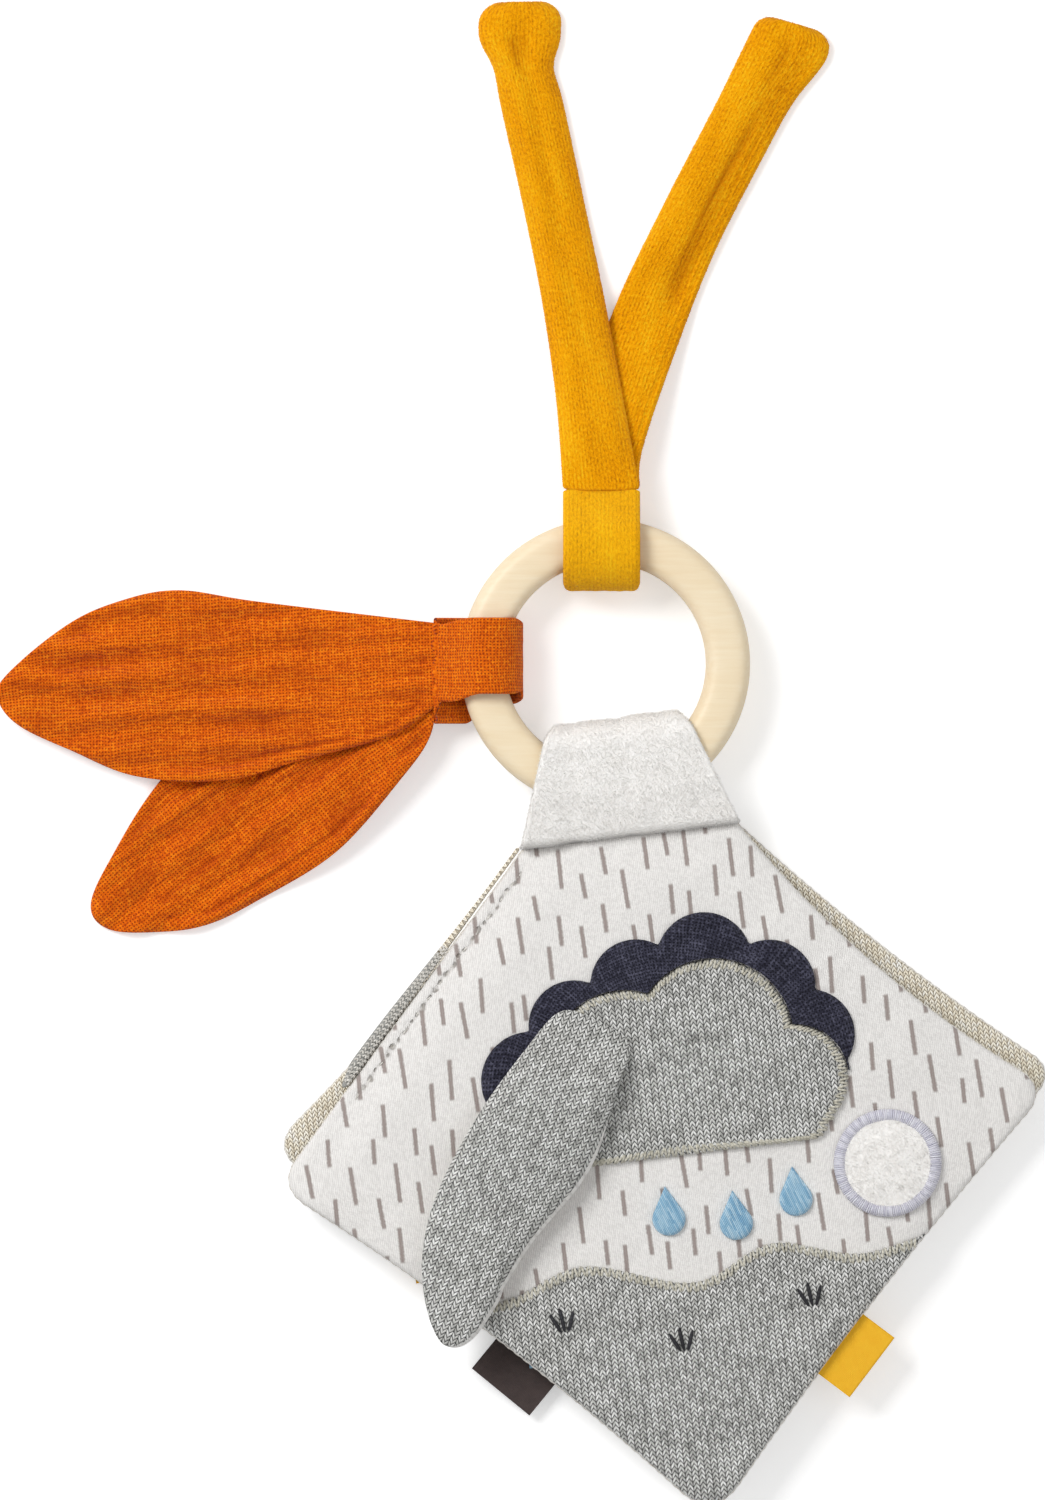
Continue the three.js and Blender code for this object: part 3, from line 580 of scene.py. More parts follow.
class Shade:
    """A procedural material; u, v and w are the place on the cloth in millimetres, or in the object. On
    velour and the folded muslin, w is painted shade above 0 and, on velour, painted light below 0.
    """

    def __init__(self, name, roughness=0.9, sheen=0.0, specular=0.25, coord="cloth"):
        self.material = bpy.data.materials.new(name)
        self.material.use_nodes = True
        self.nodes, self.links = self.material.node_tree.nodes, self.material.node_tree.links
        self.shader = self.nodes["Principled BSDF"]
        settings = {"Roughness": roughness, "Specular IOR Level": specular, "Sheen Weight": sheen,
                    "Sheen Roughness": 0.5}
        for key, value in settings.items():
            self.shader.inputs[key].default_value = value
        if coord == "cloth":
            self.at = self.node("ShaderNodeAttribute", {}, "Vector", attribute_name="cloth")
        else:
            place = self.node("ShaderNodeTexCoord", {}, "Object")
            self.at = self.node("ShaderNodeVectorMath", {0: place, "Scale": 1000}, operation="SCALE")
        split = self.nodes.new("ShaderNodeSeparateXYZ")
        self.plug(self.at, split.inputs[0])
        self.u, self.v, self.w = (Value(self, socket) for socket in split.outputs)

    def plug(self, value, socket):
        if isinstance(value, Value):
            self.links.new(value.socket, socket)
        else:
            socket.default_value = value

    def node(self, kind, inputs, output=0, **settings):
        node = self.nodes.new(kind)
        for key, value in settings.items():
            setattr(node, key, value)
        for key, value in inputs.items():
            self.plug(value, node.inputs[key])
        return Value(self, node.outputs[output])

    def math(self, operation, *values):
        return self.node("ShaderNodeMath", dict(enumerate(values)), operation=operation)

    def noise(self, size, detail=2.0, stretch=(1, 1, 1), roughness=0.5):
        spread = tuple(1 / (size * s) for s in stretch)
        place = self.node("ShaderNodeVectorMath", {0: self.at, 1: spread}, operation="MULTIPLY")
        inputs = {"Vector": place, "Scale": 1.0, "Detail": detail, "Roughness": roughness}
        return self.node("ShaderNodeTexNoise", inputs, "Fac")

    def dice(self, x, y, z=0.0):
        """A random number from 0 to 1 for each whole x, y and z."""
        place = self.node("ShaderNodeCombineXYZ", {0: x, 1: y, 2: z})
        return self.node("ShaderNodeTexWhiteNoise", {"Vector": place}, "Value", noise_dimensions="3D")

    def mix(self, share, a, b):
        return self.node("ShaderNodeMix", {"Factor": share, 6: a, 7: b}, 2, data_type="RGBA")

    def ramp(self, value, low, high):
        """0 at low, 1 at high, smooth between."""
        inputs = {"Value": value, "From Min": low, "From Max": high}
        return self.node("ShaderNodeMapRange", inputs, "Result", interpolation_type="SMOOTHSTEP")

    def shades(self, value, stops):
        node = self.nodes.new("ShaderNodeValToRGB")
        self.plug(value, node.inputs["Fac"])
        elements = node.color_ramp.elements
        while len(elements) < len(stops):
            elements.new(0.5)
        for element, (place, colour) in zip(elements, stops):
            element.position = place
            element.color = colour
        return Value(self, node.outputs["Color"])

    def done(self, colour, height, depth):
        """Depth is how deep the relief is, in millimetres."""
        self.plug(colour, self.shader.inputs["Base Color"])
        inputs = {"Strength": 1.0, "Distance": depth / 1000, "Height": height}
        self.plug(self.node("ShaderNodeBump", inputs, "Normal"), self.shader.inputs["Normal"])
        return self.material

    def stitches(self, wale, row, lean=0.9):
        """A field of V stitches: its relief, and a random number for each leg of each stitch."""
        x = self.u / wale
        leg = self.math("PINGPONG", x, 0.5) * 2.0
        y = self.v / row + leg * lean
        up = self.math("FRACT", y) * 2.0 - 1.0
        side = self.math("POWER", abs(leg * 2.0 - 1.0), 3.0) * (leg * 0.55 + 0.45)
        relief = self.math("SQRT", (1.0 - up * up) * (1.0 - side))
        return relief, self.dice((x * 2.0).floor(), y.floor())


def knit(name, dark, middle, light, wale, row, groove, depth):
    s = Shade(name, 0.95, 0.1, 0.1)
    relief, number = s.stitches(wale, row)
    cloud = (s.noise(6, 2, (2.4, 1, 1)) - 0.5) * 0.25
    tone = number * 0.3 + (s.noise(1.3, 3, (2.0, 1, 1), 0.65) * 0.5 + cloud)
    low = tuple(0.45 * a + 0.55 * b for a, b in zip(dark, middle))
    yarn = s.shades(tone, [(0.16, low), (0.36, middle), (0.64, light)])
    # Painted shade: the gaps between the stitches' legs are darkened towards the dark colour, as far as
    # groove says.
    deep = 1.0 - s.ramp(relief, 0.2, 0.92)
    return s.done(s.mix(deep * groove, yarn, dark), relief, depth)


def dashes(s, column_width=5.3, repeat=15.4):
    """A print of short upright dashes in staggered columns; gives how much ink there is."""
    column = (s.u / column_width).floor()
    half = s.math("MODULO", column + 100.0, 2.0) * (repeat / 2)
    y = s.v + (half + s.dice(column, 7.0) * 6.0)
    cell = (y / repeat).floor()

    def draw(seed, middle, size):
        return (s.dice(column, cell, seed) - middle) * size

    up = y - cell * repeat - repeat / 2 + draw(1.0, 0.5, 4.0)
    side = s.u - column * column_width - column_width / 2 + draw(2.0, 0.5, 2.2) + up * draw(3.0, 0.45, 0.14)
    wide = abs(side) + s.noise(0.8, 1) * 0.35
    long = abs(up) - draw(4.0, 0.0, 1.9)
    return (1.0 - s.ramp(wide, 0.5, 0.92)) * (1.0 - s.ramp(long, 2.6, 3.4))


def spine_dimples_and_shade(s):
    """How much of the gathered stitch line's dimples there is, from the place in the book's frame; the jersey
    sinks its relief there and paints shade in them.
    """
    (in_x, in_y), (up_x, up_y) = SPINE_INWARD.tolist(), SPINE_ALONG.tolist()
    beside = s.u * in_x + s.v * in_y - (float(SPINE_START @ SPINE_INWARD) + GATHER_LINE)
    down = float(SPINE_TOP @ SPINE_ALONG) - s.u * up_x - s.v * up_y
    sway = (s.noise(3, 2) - 0.5) * 2.6
    near = 1.0 - s.ramp(abs(beside + sway), 0.0, 0.62)
    place = s.noise(4, 1) * 3.0 + down
    hole = s.ramp(s.math("COSINE", place * (2 * math.pi / GATHER_PITCH)), -0.6, 1.0)
    reach = s.ramp(down, 2.0, 8.0) * (1.0 - s.ramp(down, 68.0, 74.0))
    return near * reach * (hole * 0.75 + 0.25)


def jersey(name, printed):
    s = Shade(name, 0.92, 0.1, 0.12)
    relief = s.u.ridges(0.46) * 0.75 + s.v.ridges(0.4) * 0.25
    # Painted shade: the troughs between the ribs are darker than their crests.
    colour = s.mix(s.ramp(relief, 0.7, 0.1), rgb(243, 241, 238), rgb(218, 215, 212))
    slub = s.ramp(s.noise(0.75, 2, (0.7, 3.2, 1), 0.7), 0.42, 0.62)
    colour = s.mix(slub * 0.45, colour, rgb(212, 209, 206))
    if printed:
        colour = s.mix(dashes(s) * (relief * 0.25 + 0.7), colour, rgb(146, 132, 127))
        sewn = spine_dimples_and_shade(s)
        # Painted shade in the dimples of the gathered stitch line.
        colour = s.mix(sewn * 0.8, colour, rgb(140, 133, 124))
        relief = relief - sewn * 6.0
    return s.done(colour, relief, 0.08)


def plush(name, light, shade):
    s = Shade(name, 1.0, 0.35, 0.05)
    height = s.noise(0.42, 3, (0.8, 1.5, 1), 0.8) * 0.85 + s.noise(5, 2) * 0.15
    return s.done(s.mix(s.ramp(height, 0.62, 0.38), light, shade), height, 0.015)


def velour(name):
    s = Shade(name, 0.95, 0.06, 0.05)
    nap = s.noise(0.5, 3, (1, 1.7, 1), 0.75)
    rib = s.u.ridges(0.95)
    # Tone is mostly random nap; the rib crests are painted a little lighter.
    tone = nap * 0.65 + (s.noise(9, 2, (1, 3, 1)) * 0.3 + rib * 0.06)
    colour = s.shades(tone, [(0.3, rgb(176, 92, 0)), (0.44, rgb(228, 146, 0)), (0.52, rgb(248, 166, 0)),
                             (0.68, rgb(255, 204, 30))])
    # Painted shade in creases and dimples where w is above 0, and painted light on the strap's fold where w
    # is below 0.
    colour = s.mix(s.ramp(s.w, 0.0, 1.0) * 0.75, colour, rgb(166, 84, 0))
    colour = s.mix(s.ramp(s.w, 0.0, -1.0) * 0.6, colour, rgb(255, 214, 34))
    return s.done(colour, nap + rib * 0.2, 0.45)


def muslin(name, dark, middle, light, folded=False, cell=0.76):
    s = Shade(name, 0.9, 0.1, 0.1)
    bend = (s.noise(14, 2) - 0.5) * 3.0
    across, along = s.u + bend, s.v + bend * 0.5
    hole = (1.0 - across.ridges(cell)) * (1.0 - along.ridges(cell))
    line = s.dice((across / cell).floor(), 3.0) * 0.6 + s.dice((along / cell).floor(), 5.0) * 0.4
    crinkle = s.noise(2.6, 3, (1, 2.2, 1), 0.65)
    # Tone is mostly random slub and thread; its crinkle share is painted shade that follows the crinkle
    # relief.
    tone = crinkle * 0.2 + s.noise(0.62, 2, (1, 1.5, 1), 0.7) * 0.7 + line * 0.1
    colour = s.shades(tone, [(0.28, dark), (0.48, middle), (0.68, light)])
    # Painted shade in the holes between the threads.
    colour = s.mix(s.ramp(hole, 0.04, 0.45) * 0.9, colour, dark)
    # Painted shade in the fold valleys, from w.
    if folded:
        colour = s.mix(s.ramp(s.w, 0.0, 1.0) * 0.4, colour, dark)
    return s.done(colour, crinkle * 0.6 - hole, 0.2)


def wood(name):
    s = Shade(name, 0.42, specular=0.4, coord="object")
    grain = s.noise(1.2, 5, (14, 1, 1), 0.62)
    pores = s.noise(0.35, 3, (22, 1, 1), 0.6)
    tone = grain * 0.6 + s.noise(18, 3, (2, 1, 1)) * 0.4
    colour = s.shades(tone, [(0.3, rgb(238, 217, 180)), (0.5, rgb(242, 224, 191)),
                             (0.68, rgb(245, 230, 201))])
    colour = s.mix(s.ramp(pores, 0.62, 0.78) * 0.14, colour, rgb(204, 168, 120))
    return s.done(colour, grain + pores, 0.02)


def thread(name, light, dark, specular=0.4, twist=3.4):
    s = Shade(name, 0.55, 0.1, specular)
    ply = abs(s.math("SINE", s.u * twist + s.v * 1.1))
    # Painted shade: the grooves between the plies are darker than their crests, with a random tone for each
    # stitch.
    tone = (s.dice(s.v.floor(), 1.0) + ply) * 0.5
    return s.done(s.mix(tone, dark, light), ply, 0.08)


def satin(name, light, middle, dark, pitch=0.42, slant=0.35):
    s = Shade(name, 0.42, 0.1, 0.5)
    line = (s.u + s.v * slant) / pitch
    ridge, number = line.ridges(1), line.floor()
    # Painted highlights: the thread crests are lighter, and pieces of thread glint at random.
    random_glints = s.dice(number, (s.v / 3.1 + s.dice(number, 2.0) * 5.0).floor())
    tone = ridge * 0.45 + random_glints * 0.55
    return s.done(s.shades(tone, [(0.1, dark), (0.5, middle), (0.95, light)]), ridge, 0.16)


def ribbon(name, light, dark, roughness=0.6):
    s = Shade(name, roughness, specular=0.3)
    weave = s.u.ridges(0.34) * s.v.ridges(0.28)
    # Painted shade: the crests of the weave are lighter than its hollows, with random tone.
    tone = weave * 0.5 + s.noise(2.2, 3) * 0.6
    return s.done(s.mix(tone, dark, light), weave, 0.06)


def crumpled(name, light, dark):
    s = Shade(name, 0.35, specular=0.6)
    fold = s.noise(5, 4, roughness=0.6)
    # Painted light and shade: the foil is lighter on its crinkles' crests and darker in their hollows.
    return s.done(s.mix(fold, dark, light), fold, 0.8)


M_JERSEY = jersey("print_jersey", True)
M_PLAIN = jersey("plain_jersey", False)
M_GREY = knit("grey_knit", rgb(18, 18, 17), rgb(208, 208, 204), rgb(255, 255, 253), 1.6, 1.16, 1.0, 0.45)
M_BEIGE = knit("beige_knit", rgb(146, 120, 82), rgb(254, 246, 226), rgb(255, 254, 248), 1.35, 1.1, 0.8, 0.35)
M_PLUSH = plush("white_plush", rgb(255, 254, 252), rgb(247, 244, 240))
M_VELOUR = velour("mustard_velour")
M_ORANGE = muslin("orange_muslin", rgb(150, 50, 0), rgb(222, 98, 3), rgb(250, 140, 20), folded=True)
M_NAVY = muslin("navy_muslin", rgb(18, 17, 27), rgb(50, 50, 64), rgb(94, 94, 112))
M_WOOD = wood("pale_wood")
M_EDGE_THREAD = thread("edge_thread", rgb(222, 218, 204), rgb(168, 164, 148))
M_SPINE = thread("spine_thread", rgb(232, 229, 222), rgb(176, 173, 166), twist=2.2)
M_CORE = thread("grey_core", rgb(176, 176, 172), rgb(120, 120, 117), 0.1, 1.4)
M_SEAM = thread("seam_thread", rgb(238, 235, 229), rgb(206, 200, 190))
M_SATIN_WHITE = satin("white_satin", rgb(238, 237, 245), rgb(220, 219, 231), rgb(188, 186, 204), 0.5, 0.0)
M_BLUE = satin("blue_thread", rgb(196, 226, 244), rgb(146, 194, 224), rgb(96, 150, 192))
M_BLACK = thread("black_thread", rgb(44, 44, 50), rgb(8, 8, 12))
M_YELLOW = ribbon("yellow_ribbon", rgb(255, 204, 46), rgb(246, 174, 16))
M_BROWN = ribbon("brown_ribbon", rgb(82, 68, 65), rgb(50, 40, 39), 0.5)
M_WADDING = plush("wadding", rgb(244, 244, 240), rgb(214, 214, 208))
M_FOIL = crumpled("crinkle_foil", rgb(226, 230, 234), rgb(170, 178, 188))


def dress(piece, body, nodes=()):
    """Body is a body's name, which the piece is attached to, or (body, body, start, end) for a piece between
    two bodies, which here only has its transform baked in.
    """
    if isinstance(body, tuple):
        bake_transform(piece)
    else:
        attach(piece, body)
    if nodes:
        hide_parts(*nodes)
    return piece


# Padded leaves
FINE_INSETS = np.concatenate([
    [0, 0.25, 0.6, 1.0, 1.5, 2.1, 2.8], np.arange(3.6, 24, 1.1), np.arange(25, 63.5, 2.2)])
RIM_POINTS = 440


def panel(name, leaf, upwards, unevenness, material, body, node):
    at = leaf.rings(FINE_INSETS, RIM_POINTS)
    x, y = at[..., 0], at[..., 1]
    inset = np.broadcast_to(FINE_INSETS[:, None], x.shape)
    crown = leaf.crown if upwards else 0
    outer = HALF_GAP + outer_rise(inset, crown) + unevenness(x, y, inset)
    inner = HALF_GAP + inner_rise(inset, crown)
    outer = np.maximum(outer - rim_round(inset), inner + 0.25)
    sign = 1 if upwards else -1
    base = leaf.base(x, y)
    skins = [xyz(x, y, base + sign * rise) for rise in (outer, inner)]
    materials = [material, M_PLAIN]
    piece = disc_shell(name, *skins[::sign], materials[::sign], xyz(x, y, inset), under=1)
    return dress(piece, body, (node,))


def rim_puckers(x, y, inset, seed):
    return np.exp(-inset / 6.5) * (1 - np.exp(-inset / 1.2)) * waves(x, y, 9, seed)


def plain_unevenness(seed):
    def height(x, y, inset):
        return 0.1 * waves(x, y, 30, seed) * smooth(inset / 8) + 0.25 * rim_puckers(x, y, inset, seed + 1)
    return height


def flat_underside(x, y, inset):
    return 0.12 * rim_puckers(x, y, inset, 21) * (inset < 20)


panel("front_cover", front, True, cover_unevenness, M_JERSEY, "front_leaf",
      "front_cover_panel")
panel("front_page", front, False, plain_unevenness(11), M_GREY, "front_leaf",
      "front_inner_panel")
panel("back_page", back, True, plain_unevenness(13), M_BEIGE, "back_leaf", "back_inner_panel")
panel("back_cover", back, False, flat_underside, M_BEIGE, "back_leaf", "back_cover_panel")


def filling(name, leaf, lower, upper, material, body, node, lumps):
    insets = np.concatenate([[PADDING_INSET, PADDING_INSET + 0.4], np.arange(7, 63, 4.0)])
    at = leaf.rings(insets, 150)
    x, y = at[..., 0], at[..., 1]
    inset = np.broadcast_to(insets[:, None], x.shape)
    base = leaf.base(x, y)
    bumps = lumps * waves(x, y, 14, 31)
    low = xyz(x, y, base + lower(inset) + np.abs(bumps))
    high = xyz(x, y, base + upper(inset) - np.abs(bumps))
    piece = disc_shell(name, high, low, [material], xyz(x, y, inset))
    return dress(piece, body, (node,))


def floor_of(inset):
    return CLEARANCE - HALF_GAP - inner_rise(inset, 0)


def roof_of(crown, below):
    return lambda inset: HALF_GAP + inner_rise(inset, crown) - below


FOIL = 0.2
filling("front_fill", front, floor_of, roof_of(CROWN_RISE, 2 * CLEARANCE + FOIL), M_WADDING, "front_leaf",
        "front_wadding", 0.08)
filling("front_film", front, roof_of(CROWN_RISE, CLEARANCE + FOIL), roof_of(CROWN_RISE, CLEARANCE), M_FOIL,
        "front_leaf", "crinkle_foil", 0.04)
filling("back_fill", back, floor_of, roof_of(0, CLEARANCE), M_WADDING, "back_leaf", "back_wadding",
        0.08)


def rim_line(leaf, outside, count, lift=0.0):
    ring = resample(leaf.outline, count, closed=True)
    spot = ring + unit(ring - LEAF_CENTRE) * outside
    return np.column_stack([spot, leaf.base(ring[:, 0], ring[:, 1]) + lift])


for name, line, radius, body, slot in (
        ("front_seam", rim_line(front, -0.2, 900, -0.3), 0.42, "front_leaf", "grey_knit"),
        ("back_seam", rim_line(back, -0.1, 900), 0.4, "back_leaf", "beige_knit")):
    dress(tube(name, line, radius, M_SEAM, sides=8, closed=True, twist=2.4, lobes=2), body)

# Spine: a rolled knit edge on the hinge line, and the gathered stitch line beside it
spine_run = np.arange(0, SPINE_LENGTH, 0.25)
spine_spot = SPINE_START[None] - SPINE_ALONG[None] * (spine_run[:, None] + 0.8)
spine_size = 0.5 + 0.95 * smooth((spine_run - 8) / 55)
spine_size = spine_size * (0.45 + 0.55 * smooth((SPINE_LENGTH - spine_run) / 7))
binding_path = np.column_stack([spine_spot + SPINE_INWARD * (1.3 - spine_size[:, None]) * 0.8,
                                SPINE_HEIGHT + 0.6 + 0.3 * np.sin(spine_run / 5.1)])
for name, part_of, material, nodes in (("spine_top", slice(0, 136), M_BEIGE, ()),
                                       ("spine_edge", slice(120, None), M_CORE, ("spine_binding",))):
    binding = tube(name, binding_path[part_of], spine_size[part_of], material, sides=18)
    dress(binding, "back_leaf", nodes)
starts, ends = [], []
for row, phase in ((-0.55, 0.0), (0.35, 0.5), (1.1, 0.2)):
    for run in np.arange(30 + phase, SPINE_LENGTH - 1.4, 1.15):
        k = int(run / 0.25)
        size, centre = spine_size[k], binding_path[k]
        for lean in (-0.42, 0.42):
            for store, side, step in ((starts, row, -0.42), (ends, row + lean, 0.5)):
                turn = math.pi / 2 - side / 1.15
                spot = centre[:2] + SPINE_INWARD * size * 1.04 * math.cos(turn) - SPINE_ALONG * step
                store.append([*spot, centre[2] + size * 1.04 * math.sin(turn)])
dress(threads("spine_loops", starts, ends, 0.24, M_SPINE, 0.16), "back_leaf")
draw = np.random.default_rng(41)
starts, ends = [], []
for run in np.arange(3, SPINE_LENGTH - 1, GATHER_PITCH):
    for store, place in ((starts, run + 0.35), (ends, run + GATHER_PITCH - 0.35)):
        beside = GATHER_LINE + draw.uniform(-0.12, 0.12)
        spot = SPINE_START - SPINE_ALONG * (place + 2) + SPINE_INWARD * beside
        store.append([*spot, float(cover_height(*spot)) + 0.05])
dress(threads("spine_stitches", starts, ends, 0.22, M_SPINE, 0.25), "front_leaf")

# Appliqué on the front cover
CLOUD_CENTRE = np.array([2.0, 8.0])
CLOUD_LOBES = [(-28, 6, 13), (-8, 16, 18), (14, 20, 19), (32, 8, 13)]
TOTAL_APPLIQUE, SEWN_LIFT = CLEARANCE + APPLIQUE, 0.06
SCALLOPS = [(-31, 15, 12), (-19, 27, 11), (-3, 35, 11), (14, 39, 11.5), (29, 31, 11), (37, 18, 11)]


def in_discs(x, y, discs):
    return np.any([np.hypot(x - a, y - b) < r for a, b, r in discs], 0)


def in_cloud(x, y):
    widen = 5 * (y + 7) / 15
    base = (y > -7) & (y < 8) & (x > -35 - widen) & (x < 39 + widen)
    left = (x < -31) & (np.hypot(x + 31, y + 3) > 4)
    right = (x > 35) & (np.hypot(x - 35, y + 3) > 4)
    return in_discs(x, y, CLOUD_LOBES) | (base & ~((y < -3) & (left | right)))


def ray_reach(inside, centre, angles, furthest=70.0, step=0.04):
    r = np.arange(0, furthest, step)
    x = centre[0] + np.cos(angles)[:, None] * r
    y = centre[1] + np.sin(angles)[:, None] * r
    mask = inside(x, y)
    return np.where(mask.any(1), r[mask.shape[1] - 1 - np.argmax(mask[:, ::-1], 1)], 0)


def edge_profile(distance, thickness, turn=1.5, rim=0.35):
    return thickness * (rim + (1 - rim) * quarter(distance / turn))


def on_cover(x, y, rise):
    """The upper and lower side of something that is sewn on the cover."""
    ground = cover_height(x, y)
    return xyz(x, y, ground + rise), xyz(x, y, ground + SEWN_LIFT)


def sewn_patch(name, outline, centre, thickness, material, node, insets, uneven=0.06, extra=None):
    rel = outline - centre
    share = 1 - insets[:, None, None] / float(np.median(np.linalg.norm(rel, axis=1)))
    at = centre + rel[None] * share
    x, y = at[..., 0], at[..., 1]
    distance = np.broadcast_to(insets[:, None], x.shape)
    rise = edge_profile(distance, thickness) + uneven * waves(x, y, 7, 51) * smooth(distance / 2)
    if extra is not None:
        rise = rise + extra(x, y, distance)
    piece = disc_shell(name, *on_cover(x, y, rise), [material], xyz(x, y, distance))
    return dress(piece, "front_leaf", (node,))


cloud_angles = np.linspace(-math.pi, math.pi, 520, endpoint=False)
cloud_reach = ray_reach(in_cloud, CLOUD_CENTRE, cloud_angles)
cloud_ways = np.column_stack([np.cos(cloud_angles), np.sin(cloud_angles)])
cloud_edge = CLOUD_CENTRE + cloud_ways * cloud_reach[:, None]
sewn_patch("cloud", cloud_edge, CLOUD_CENTRE, TOTAL_APPLIQUE, M_GREY, "cloud_applique",
           np.concatenate([[0, 0.2, 0.5, 0.9, 1.4, 2.0, 2.8], np.arange(3.84, 26, 1.3)]), 0.12)


def zigzag(name, line, inward, closed=True, width=2.2, pitch=0.9):
    """Overlock stitches along a line: slanting threads from the edge inwards."""
    count = int(np.linalg.norm(np.diff(line, axis=0), axis=1).sum() / pitch)
    spots = resample(line, count, closed)
    ways = unit(resample(inward, count, closed))
    rng = np.random.default_rng(61)
    along = unit(np.roll(spots, -1, 0) - np.roll(spots, 1, 0))
    lean = np.where(np.arange(count) % 2, 0.5, -0.5)[:, None] + rng.uniform(-0.15, 0.15, (count, 1))
    outer = spots - ways * rng.uniform(0.15, 0.4, (count, 1)) + along * lean * 0.5
    inner = spots + ways * (width + rng.uniform(-0.25, 0.25, (count, 1))) - along * lean * 0.5
    level = np.zeros((count, 1))

    def on_edge(x, y, share):
        rise = edge_profile(share * (width + 0.3) - 0.3, TOTAL_APPLIQUE)
        return cover_height(x, y) + 0.12 + rise * smooth((share + 0.1) / 0.25)

    piece = threads(name, np.hstack([outer, level]), np.hstack([inner, level]), 0.29, M_EDGE_THREAD, 0.0,
                    steps=9, surface=on_edge)
    return dress(piece, "front_leaf")


zigzag("cloud_edging", cloud_edge, CLOUD_CENTRE - cloud_edge)

# Navy scallops that stand out from behind the cloud
scallop_angles = np.linspace(math.radians(0.6), math.radians(179.4), 560)
inner_reach = ray_reach(in_cloud, CLOUD_CENTRE, scallop_angles) + 0.35
outer_reach = ray_reach(lambda x, y: in_discs(x, y, SCALLOPS), CLOUD_CENTRE, scallop_angles)
outer_reach = np.maximum(outer_reach, inner_reach + 0.4)
kernel = np.hanning(9) / np.hanning(9).sum()
outer_reach = np.convolve(np.pad(outer_reach, 4, mode="edge"), kernel, "valid")
across_share = np.concatenate([[0, 0.02, 0.05, 0.1], np.linspace(0.17, 0.83, 14), [0.9, 0.95, 0.98, 1.0]])
reach = inner_reach[:, None] + (outer_reach - inner_reach)[:, None] * across_share
sx = CLOUD_CENTRE[0] + np.cos(scallop_angles)[:, None] * reach
sy = CLOUD_CENTRE[1] + np.sin(scallop_angles)[:, None] * reach
width = (outer_reach - inner_reach)[:, None]
to_end = np.minimum(scallop_angles, math.pi - scallop_angles)[:, None] * 40
to_edge = np.minimum(width * (1 - across_share), to_end)
fold = 0.4 * np.sin(scallop_angles[:, None] * 23 + 2 * np.sin(reach / 3)) * smooth(to_edge / 2)
rise = edge_profile(to_edge, 1.9, 3.2, 0.2) + fold + 0.2 * waves(sx, sy, 5, 71)
top, bottom = on_cover(sx, sy, np.maximum(rise, 0.3))
navy_cloth = xyz(scallop_angles[:, None] * 34, reach, 0)
dress(grid_shell("scallops", top[::-1], bottom[::-1], M_NAVY, navy_cloth[::-1]),
      "front_leaf", ("scallop_trim",))

# Hill that fills the book's lower corner
HILL_TOP = [(70, -30), (44, -36), (22, -31), (2, -38), (-24, -31), (-46, -37), (-70, -30)]
HILL_INSET = 0.15
hill_line = spline(HILL_TOP, 500)[::-1]
hill_line = hill_line[front.inset(hill_line[:, 0], hill_line[:, 1]) > HILL_INSET]
hill_x = np.linspace(hill_line[0, 0], hill_line[-1, 0], 170)
hill_y = np.interp(hill_x, hill_line[:, 0], hill_line[:, 1])


def leaf_bottom(x, inset):
    """Where the front leaf's lower side is, the given way inside its edge."""
    y = np.linspace(-96, -20, 1600)
    deep = front.inset(x[:, None], y[None])
    return y[np.argmax(deep > inset, 1)]


hill_low = np.minimum(leaf_bottom(hill_x, HILL_INSET), hill_y - 0.3)
hill_share = np.concatenate([[0, 0.004, 0.01, 0.02], np.linspace(0.035, 0.965, 60), [0.98, 0.99, 0.996, 1]])
hx = np.broadcast_to(hill_x[:, None], (len(hill_x), len(hill_share)))
hy = hill_y[:, None] + (hill_low - hill_y)[:, None] * hill_share
tall = (hill_y - hill_low)[:, None]
hill_edge = np.minimum(np.minimum(tall * hill_share, tall * (1 - hill_share) * 0.72), 30)
ends_edge = np.minimum(hill_x - hill_x[0], hill_x[-1] - hill_x)[:, None] * 0.7
hill_edge = np.minimum(hill_edge, ends_edge)
rise = edge_profile(hill_edge, TOTAL_APPLIQUE) + 0.1 * waves(hx, hy, 7, 81) * smooth(hill_edge / 2)
top, bottom = on_cover(hx, hy, rise)
dress(grid_shell("hill", top[:, ::-1], bottom[:, ::-1], M_GREY, xyz(hx, hy, 0)[:, ::-1]),
      "front_leaf", ("hill_applique",))
hill_top_line = np.column_stack([hill_x, hill_y])
hill_top_line = hill_top_line[front.inset(hill_x, hill_y) > 1.4]
zigzag("hill_edging", hill_top_line, np.tile([0.0, -1.0], (len(hill_top_line), 1)), closed=False)

# Plush moon with a satin-stitched border
MOON = np.array([52.0, -15.0])
MOON_RADIUS, MOON_BORDER = 13.0, 3.1
around = np.linspace(0, 2 * math.pi, 360, endpoint=False)
unit_circle = np.column_stack([np.cos(around), np.sin(around)])


def moon_crown(x, y, distance):
    return 0.09 * waves(x, y, 2.4, 91, 12) * smooth((distance - 2) / 2) + 0.4 * smooth((distance - 2.4) / 5)


